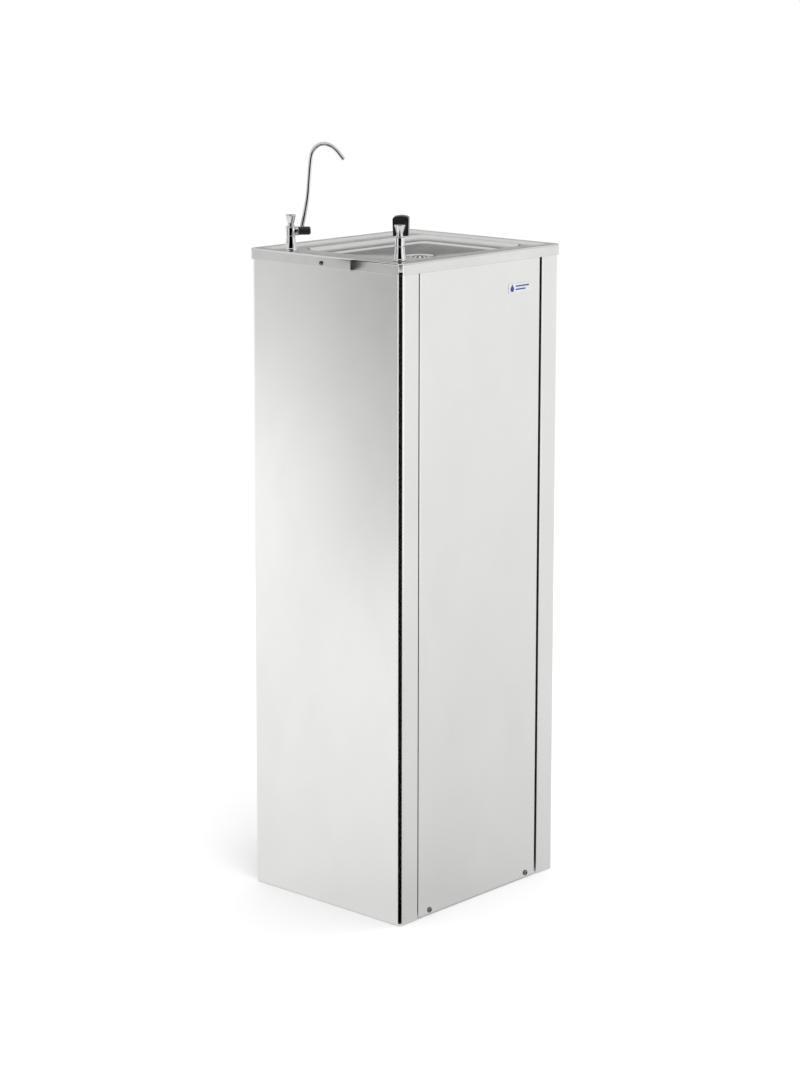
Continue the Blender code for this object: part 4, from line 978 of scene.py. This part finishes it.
def cards():
    """Cards that only the metal mirrors, set for the photo's view: floor, near and far flags."""
    material = glow_material()
    floor_rows = []
    for distance in (0.005, 0.15, 0.3, 0.5, 0.8, 1.3, 2.2, 3.6, 6.0, 10.0, 300.0):
        reach = math.log(max(distance, 0.15))
        base = ramp(reach, math.log(0.15), math.log(2.5), 0.72, 0.97)
        base += ramp(reach, math.log(2.5), 2.1, 0.0, 0.06)
        row = []
        for angle in range(-180, 181, 10):
            left = ramp(abs(angle + 90), 40, 60, 0.17, 0.0)
            row.append((around(angle, distance, 0.0003), base + left))
        floor_rows.append(row)
    card("floor_mirror", floor_rows, material)

    card("corner_flag", [[(around(angle, CORNER_FLAG_DISTANCE, height), 0.0) for angle in (-70.6, 70.6)]
                         for height in (0.0, TOP_Z - 0.012)], material)
    for name, foot in (("bubbler_flag", BUBBLER_FOOT), ("filler_flag", FILLER_FOOT)):
        card(name, [[(around(angle, TAP_FLAG_DISTANCE, height, foot), 0.0) for angle in range(-32, 33, 8)]
                    for height in (TOP_Z - 0.018, 1.13)], material)

    card("right_glow", [[(around(angle, SIDE_CARD_DISTANCE, height), 1.3) for angle in range(52, 85, 4)]
                        for height in (0.05, 1.5)], material)
    flag = []
    for height in (0.02, 0.15, 0.30, 0.40, 0.50, 0.65, 0.80, 1.1):
        near = ramp(height, 0.03, 0.62, 0.92, 0.50)
        rear = ramp(height, 0.32, 0.68, 1.20, 0.74)
        flag.append([(around(angle, SIDE_CARD_DISTANCE, height), ramp(angle, -93.5, -83.5, rear, near))
                     for angle in range(-104, -59, 2)])
    card("left_flag", flag, material)
    back = []
    for height, glow in ((1.20, 0.84), (1.34, 0.24), (2.20, 0.24), (2.60, 0.84)):
        back.append([(around(angle, BACK_CARD_DISTANCE, height), glow) for angle in range(140, 221, 8)])
    card("back_flag", back, material)


def studio():
    """Pale floor, white world that is dimmer in the metal, and two soft lamps."""
    floor_finish = Finish("studio_floor", 0.0, 0.6)
    speckle = floor_finish.noise((0.4, 0.4, 0.4), detail=2.0)
    floor_finish.colour(speckle, (0.89, 0.89, 0.89), (0.91, 0.91, 0.91))
    bm = bmesh.new()
    bmesh.ops.create_grid(bm, x_segments=2, y_segments=2, size=300.0)
    floor_mesh = bpy.data.meshes.new("studio_floor")
    bm.to_mesh(floor_mesh)
    bm.free()
    floor_mesh.materials.append(floor_finish.material)
    floor = bpy.data.objects.new("studio_floor", floor_mesh)
    bpy.context.scene.collection.objects.link(floor)
    floor.location.z = -0.0002

    world = bpy.data.worlds.new("studio")
    bpy.context.scene.world = world
    world.use_nodes = True
    nodes = world.node_tree.nodes
    links = world.node_tree.links
    ray = nodes.new("ShaderNodeLightPath")
    level = nodes.new("ShaderNodeMapRange")
    level.inputs["To Min"].default_value = WORLD_LIGHT
    level.inputs["To Max"].default_value = WORLD_IN_METAL
    links.new(ray.outputs["Is Glossy Ray"], level.inputs["Value"])
    links.new(level.outputs["Result"], nodes["Background"].inputs["Strength"])
    nodes["Background"].inputs["Color"].default_value = (1.0, 1.0, 1.0, 1.0)

    lamps = (("key", (-1.6, -3.0, 3.2), 2.4, 50.0), ("fill", (3.2, -1.2, 2.4), 2.4, 30.0))
    for name, place, size, power in lamps:
        lamp = bpy.data.lights.new(name, "AREA")
        lamp.shape = "SQUARE"
        lamp.size = size
        lamp.energy = power
        holder = bpy.data.objects.new(name, lamp)
        bpy.context.scene.collection.objects.link(holder)
        holder.location = place
        aim = Vector((0.0, 0.0, 0.5)) - Vector(place)
        holder.rotation_euler = aim.to_track_quat("-Z", "Y").to_euler()
        holder.visible_glossy = False


def camera():
    data = bpy.data.cameras.new("camera")
    data.sensor_width = 36.0
    data.lens = FOCAL_PIXELS * data.sensor_width / FRAME_HEIGHT
    data.shift_y = CAMERA_SHIFT
    holder = bpy.data.objects.new("camera", data)
    bpy.context.scene.collection.objects.link(holder)
    holder.location = CAMERA_PLACE
    holder.rotation_euler = (math.pi / 2 - CAMERA_PITCH, CAMERA_ROLL, CAMERA_YAW)
    bpy.context.scene.camera = holder
    bpy.context.scene.view_settings.view_transform = "Standard"


camera()
studio()
cards()
carried_over()
side_panels()
front_cover()
louvre_hoods()
screws()
badge()
basin()
waste()
bubbler()
filler()
spring("bubbler", tap_frame(BUBBLER_FOOT, SPIGOT_ANGLE))
spring("filler", tap_frame(FILLER_FOOT, -SPIGOT_ANGLE))
supply_valve()
appliance_inlet()
dial()
